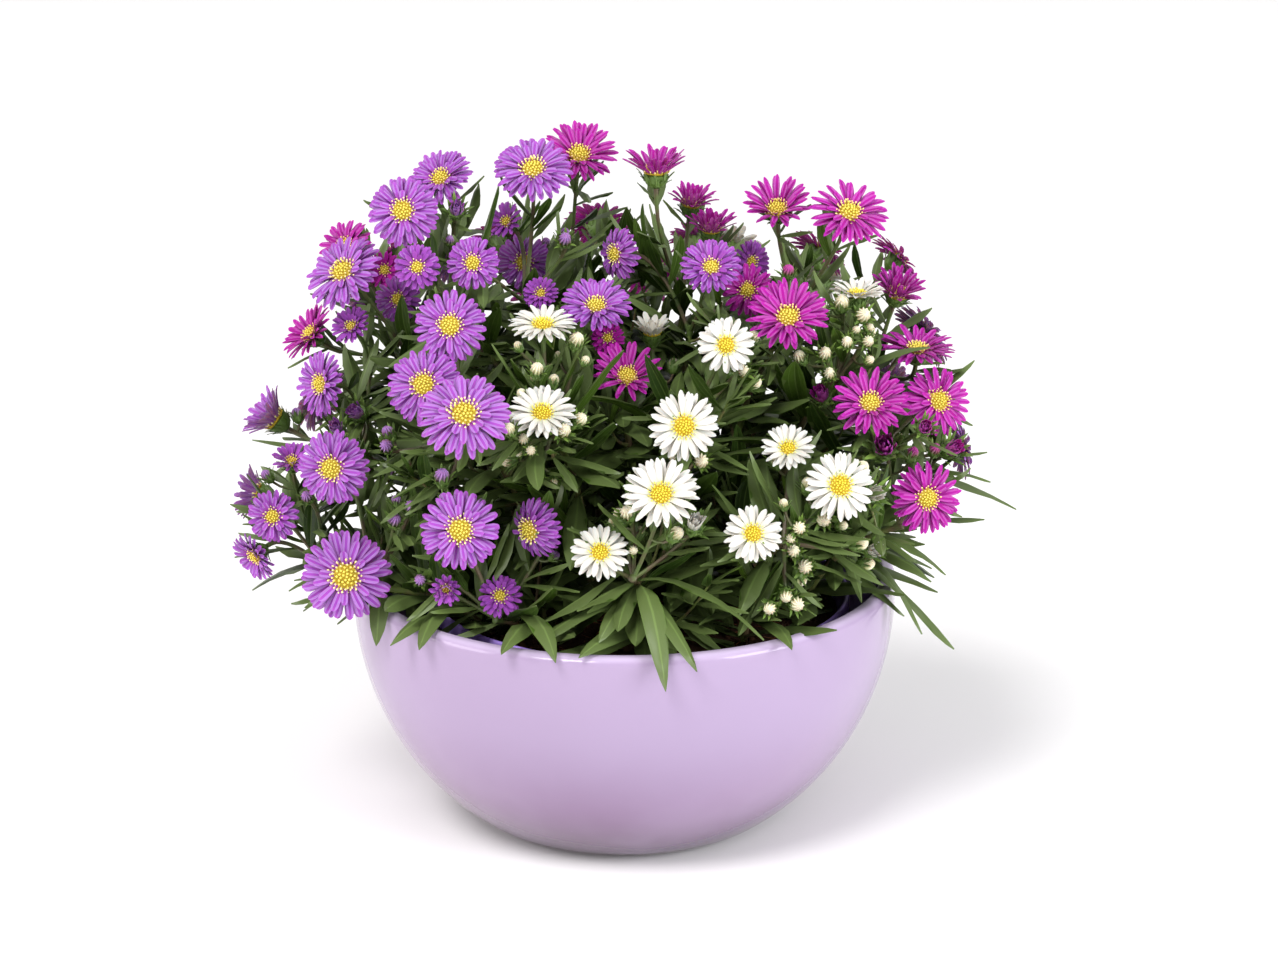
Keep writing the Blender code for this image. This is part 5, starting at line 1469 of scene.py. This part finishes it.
discs = Growth()
for stem in STEMS:
    for k, head in enumerate(stem.heads):
        draw = random.Random(DISC_SEED + stem.number * 20 + k)
        grow_disc(discs, head, BLOOMS[stem.colour].disc, COLOURS.index(stem.colour), draw)
discs.piece("disc_florets", pollen, 50, None)

# %% [markdown]
# ## Stalks and cups
# Below the petals is a green cup of narrow bracts whose tips curl back, and the stalk that carries it
# turns up from the fork of the stem. Under a bud the bracts cling to it.

# %% Cups, bracts and stalks
BRACT_SHARES = np.array((0, 0.4, 0.78, 1.0))
BRACT_OUTLINE = np.array((0.8, 1.0, 0.55, 0.05))
BRACT_THICK, BRACT_STRAY, CUP_TONE, BRACT_TONES, YOUNG_BUD = 0.0003, 0.15, 0.5, (0.5, 1.0), 0.0025
# Rings of a cup as height and girth, rows of bracts as height, girth and count, and then the bracts: leans
# in degrees, lengths, width, curls, and how their tips curl outward and down
Cup = namedtuple("Cup", "sides rings rows leans lengths width curls out down")
HEAD_CUP = Cup(
    12, ((-0.0060, 0.50), (-0.0046, 0.82), (-0.0026, 1), (-0.0006, 1.04), (0.0, 0.8)),
    ((-0.0052, 0.72, 9), (-0.0036, 0.95, 9), (-0.0022, 1.02, 8)),
    (8, 40), (0.0032, 0.0050), 0.0017, (0.0, 0.45), 0.9, 0.3)
BUD_CUP = Cup(
    8, ((-BUD_BACK, 0.24), (-1.0, 0.55), (-0.6, 0.80), (-0.2, 0.90), (0.05, 0.80)),
    ((-0.75, 0.80, 6), (-0.35, 0.80, 7), (0.05, 0.80, 8)),
    (-6, 34), (0.9, 1.35), 0.36, (0.0, 0.5), 1, 0)
YOUNG_CUP_ROWS = ((-0.6, 0.80, 5), (-0.1, 0.80, 6))
HEAD_CUP_SHARE, CUP_FOOT = 0.30, 1.1
STALK_SWELL, STALK_SIDES, SIDE_BUD_SIDES = 1.2, 6, 5
FORK_SHARES, FORK_RADII = (-0.2, 0.4, 0.9, 1.05), (STEM_TOP_RADIUS, 0.0016, 0.0018, 0.0010)
CUP_SEED = 400


def grow_cup(growth, flower, cup, scale, wide, draw, *first):
    """Adds the green cup behind a flower: heights at a scale, girths as shares of wide."""
    centre, axis, side, over = frame_of(flower)
    turn = turns(cup.sides)
    rings = [*first, *((z * scale, girth * wide) for z, girth in cup.rings)]
    ring = spokes(side, over, turn)
    growth.loft([centre + axis * z + ring * radius for z, radius in rings], np.cos(turn), CUP_TONE)
    for row, (z, girth, count) in enumerate(cup.rows):
        for k in range(count):
            stray = draw.uniform(-BRACT_STRAY, BRACT_STRAY)
            outward = toward(side, over, TURN * (k + 0.5 * row + stray) / count)
            foot = centre + axis * z * scale + outward * wide * girth
            way = toward(axis, outward, math.radians(draw.uniform(*cup.leans)))
            length = scale * draw.uniform(*cup.lengths)
            curl = length * draw.uniform(*cup.curls) * BRACT_SHARES**2
            spine = foot + way * (length * BRACT_SHARES)[:, None]
            spine = spine + (outward * cup.out - axis * cup.down) * curl[:, None]
            # A bract's own left, so that its hollow face looks up the cup
            left, halves = np.cross(axis, outward), scale * cup.width / 2 * BRACT_OUTLINE
            blade(growth, spine, left, halves, BRACT_SECTION, BRACT_THICK, draw.uniform(*BRACT_TONES))


def grow_bud_cup(growth, bud, draw):
    cup = BUD_CUP._replace(rows=YOUNG_CUP_ROWS) if bud.reach < YOUNG_BUD else BUD_CUP
    grow_cup(growth, bud, cup, bud.reach, bud.reach, draw)


bract_green = green_finish(
    "bract_green", deep=(0.055, 0.105, 0.020), mid=(0.095, 0.165, 0.030), young=(0.165, 0.270, 0.045),
    rib=(0.180, 0.270, 0.080), under=(0.110, 0.180, 0.050),
    stalk=(0.085, 0.130, 0.034), ruddy=(0.105, 0.075, 0.045))
stalks = Growth()
for stem in STEMS:
    draw, line = random.Random(CUP_SEED + stem.number), stem_line(stem)
    aim = (line[-1] - line[-2]).normalized()
    stub = [line[-1] + aim * FORK_LENGTH * share for share in FORK_SHARES]
    tube(stalks, stub, FORK_RADII, STEM_SIDES, STEM_TONE)
    for line in stalk_lines[stem.name]:
        radii = np.full(TWIG_POINTS, STALK_RADIUS)
        radii[-2:] *= STALK_SWELL
        tube(stalks, line, radii, STALK_SIDES, STEM_TONE)
    for head in stem.heads:
        foot = (-CUP_DEPTH, STALK_RADIUS * CUP_FOOT)
        grow_cup(stalks, head, HEAD_CUP, 1, head.reach * HEAD_CUP_SHARE, draw, foot)
    for bud in stem.buds:
        grow_bud_cup(stalks, bud, draw)
    for bud, line in side_buds[stem.name]:
        tube(stalks, line, np.full(len(line), SIDE_BUD_STEM), SIDE_BUD_SIDES, STEM_TONE)
        grow_bud_cup(stalks, bud, draw)
stalks.piece("flower_stalks", bract_green, LEAF_SHARP_DEG, "foliage")

# %% [markdown]
# ## The studio
# The part stands on a plain pale floor under soft light. A broad far lamp from the upper left gives the
# form its light and shade and falls on the whole floor alike. Two softboxes are there for what the
# glaze mirrors, and a pale world fills the shadows.

# %% Floor, lights and world
FLOOR_HALF = 9.0
SOFTBOX_TARGET, SOFTBOX_SIZE = Vector((0, 0, 0.08)), 0.60
LEFT_BOX, RIGHT_BOX = Vector((-1.15, -0.46, 0.50)), Vector((1.02, -0.74, 0.50))

corners = [(x * FLOOR_HALF, y * FLOOR_HALF, 0) for x, y in ((-1, -1), (1, -1), (1, 1), (-1, 1))]
floor = mesh_object("floor", corners, [], [(0, 1, 2, 3)])
ground = Finish("floor_paper", Specular_IOR_Level=0.2)
mottle = ground.speckle(3, 2)
paper = ground.layers((0.80, 0.79, 0.78), (mottle, (0.84, 0.83, 0.82)))
ground.wear(Base_Color=paper, Roughness=mottle * 0.1 + 0.7)
floor.data.materials.append(ground.material)
floor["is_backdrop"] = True


def lamp(name, kind, aim, energy, place=(0, 0, 0), **settings):
    """A lamp whose light runs along aim."""
    light = placed(name, bpy.data.lights.new(name, kind))
    light.data.energy = energy
    for setting, value in settings.items():
        setattr(light.data, setting, value)
    light.location = place
    light.rotation_euler = aim.to_track_quat("-Z", "Y").to_euler()


lamp("key", "SUN", Vector((0.36, 0.58, -0.88)), 2.1, angle=math.radians(22))
lamp("fill", "SUN", Vector((-0.60, 0.55, -0.55)), 0.7, angle=math.radians(40))
lamp("left_box", "AREA", SOFTBOX_TARGET - LEFT_BOX, 9.0, LEFT_BOX, size=SOFTBOX_SIZE, color=(1.0, 0.95, 0.98))
lamp("right_box", "AREA", SOFTBOX_TARGET - RIGHT_BOX, 13.5, RIGHT_BOX, size=SOFTBOX_SIZE,
     color=(0.94, 0.96, 1.0))

world = bpy.data.worlds.new("studio")
bpy.context.scene.world = world
world.use_nodes = True
sky = world.node_tree.nodes["Background"].inputs
sky["Color"].default_value = (0.985, 0.98, 1.0, 1)
sky["Strength"].default_value = 0.62
bpy.context.scene.view_settings.view_transform = "Standard"
print("lights:", [obj.name for obj in bpy.data.objects if obj.type == "LIGHT"])

# %% [markdown]
# ## Size
# The dressed part's box is measured and kept beside the solids' box in one table, and the dressed one is
# printed in millimetres. The dressed part has to keep to the solids' box.

# %% Boxes and finish
dressed_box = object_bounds()
sizes = {"cad": [list(corner) for corner in cad_box], "visual": [list(corner) for corner in dressed_box]}
print("dressed box in mm:", [tuple(round(c / MM, 1) for c in corner) for corner in dressed_box])
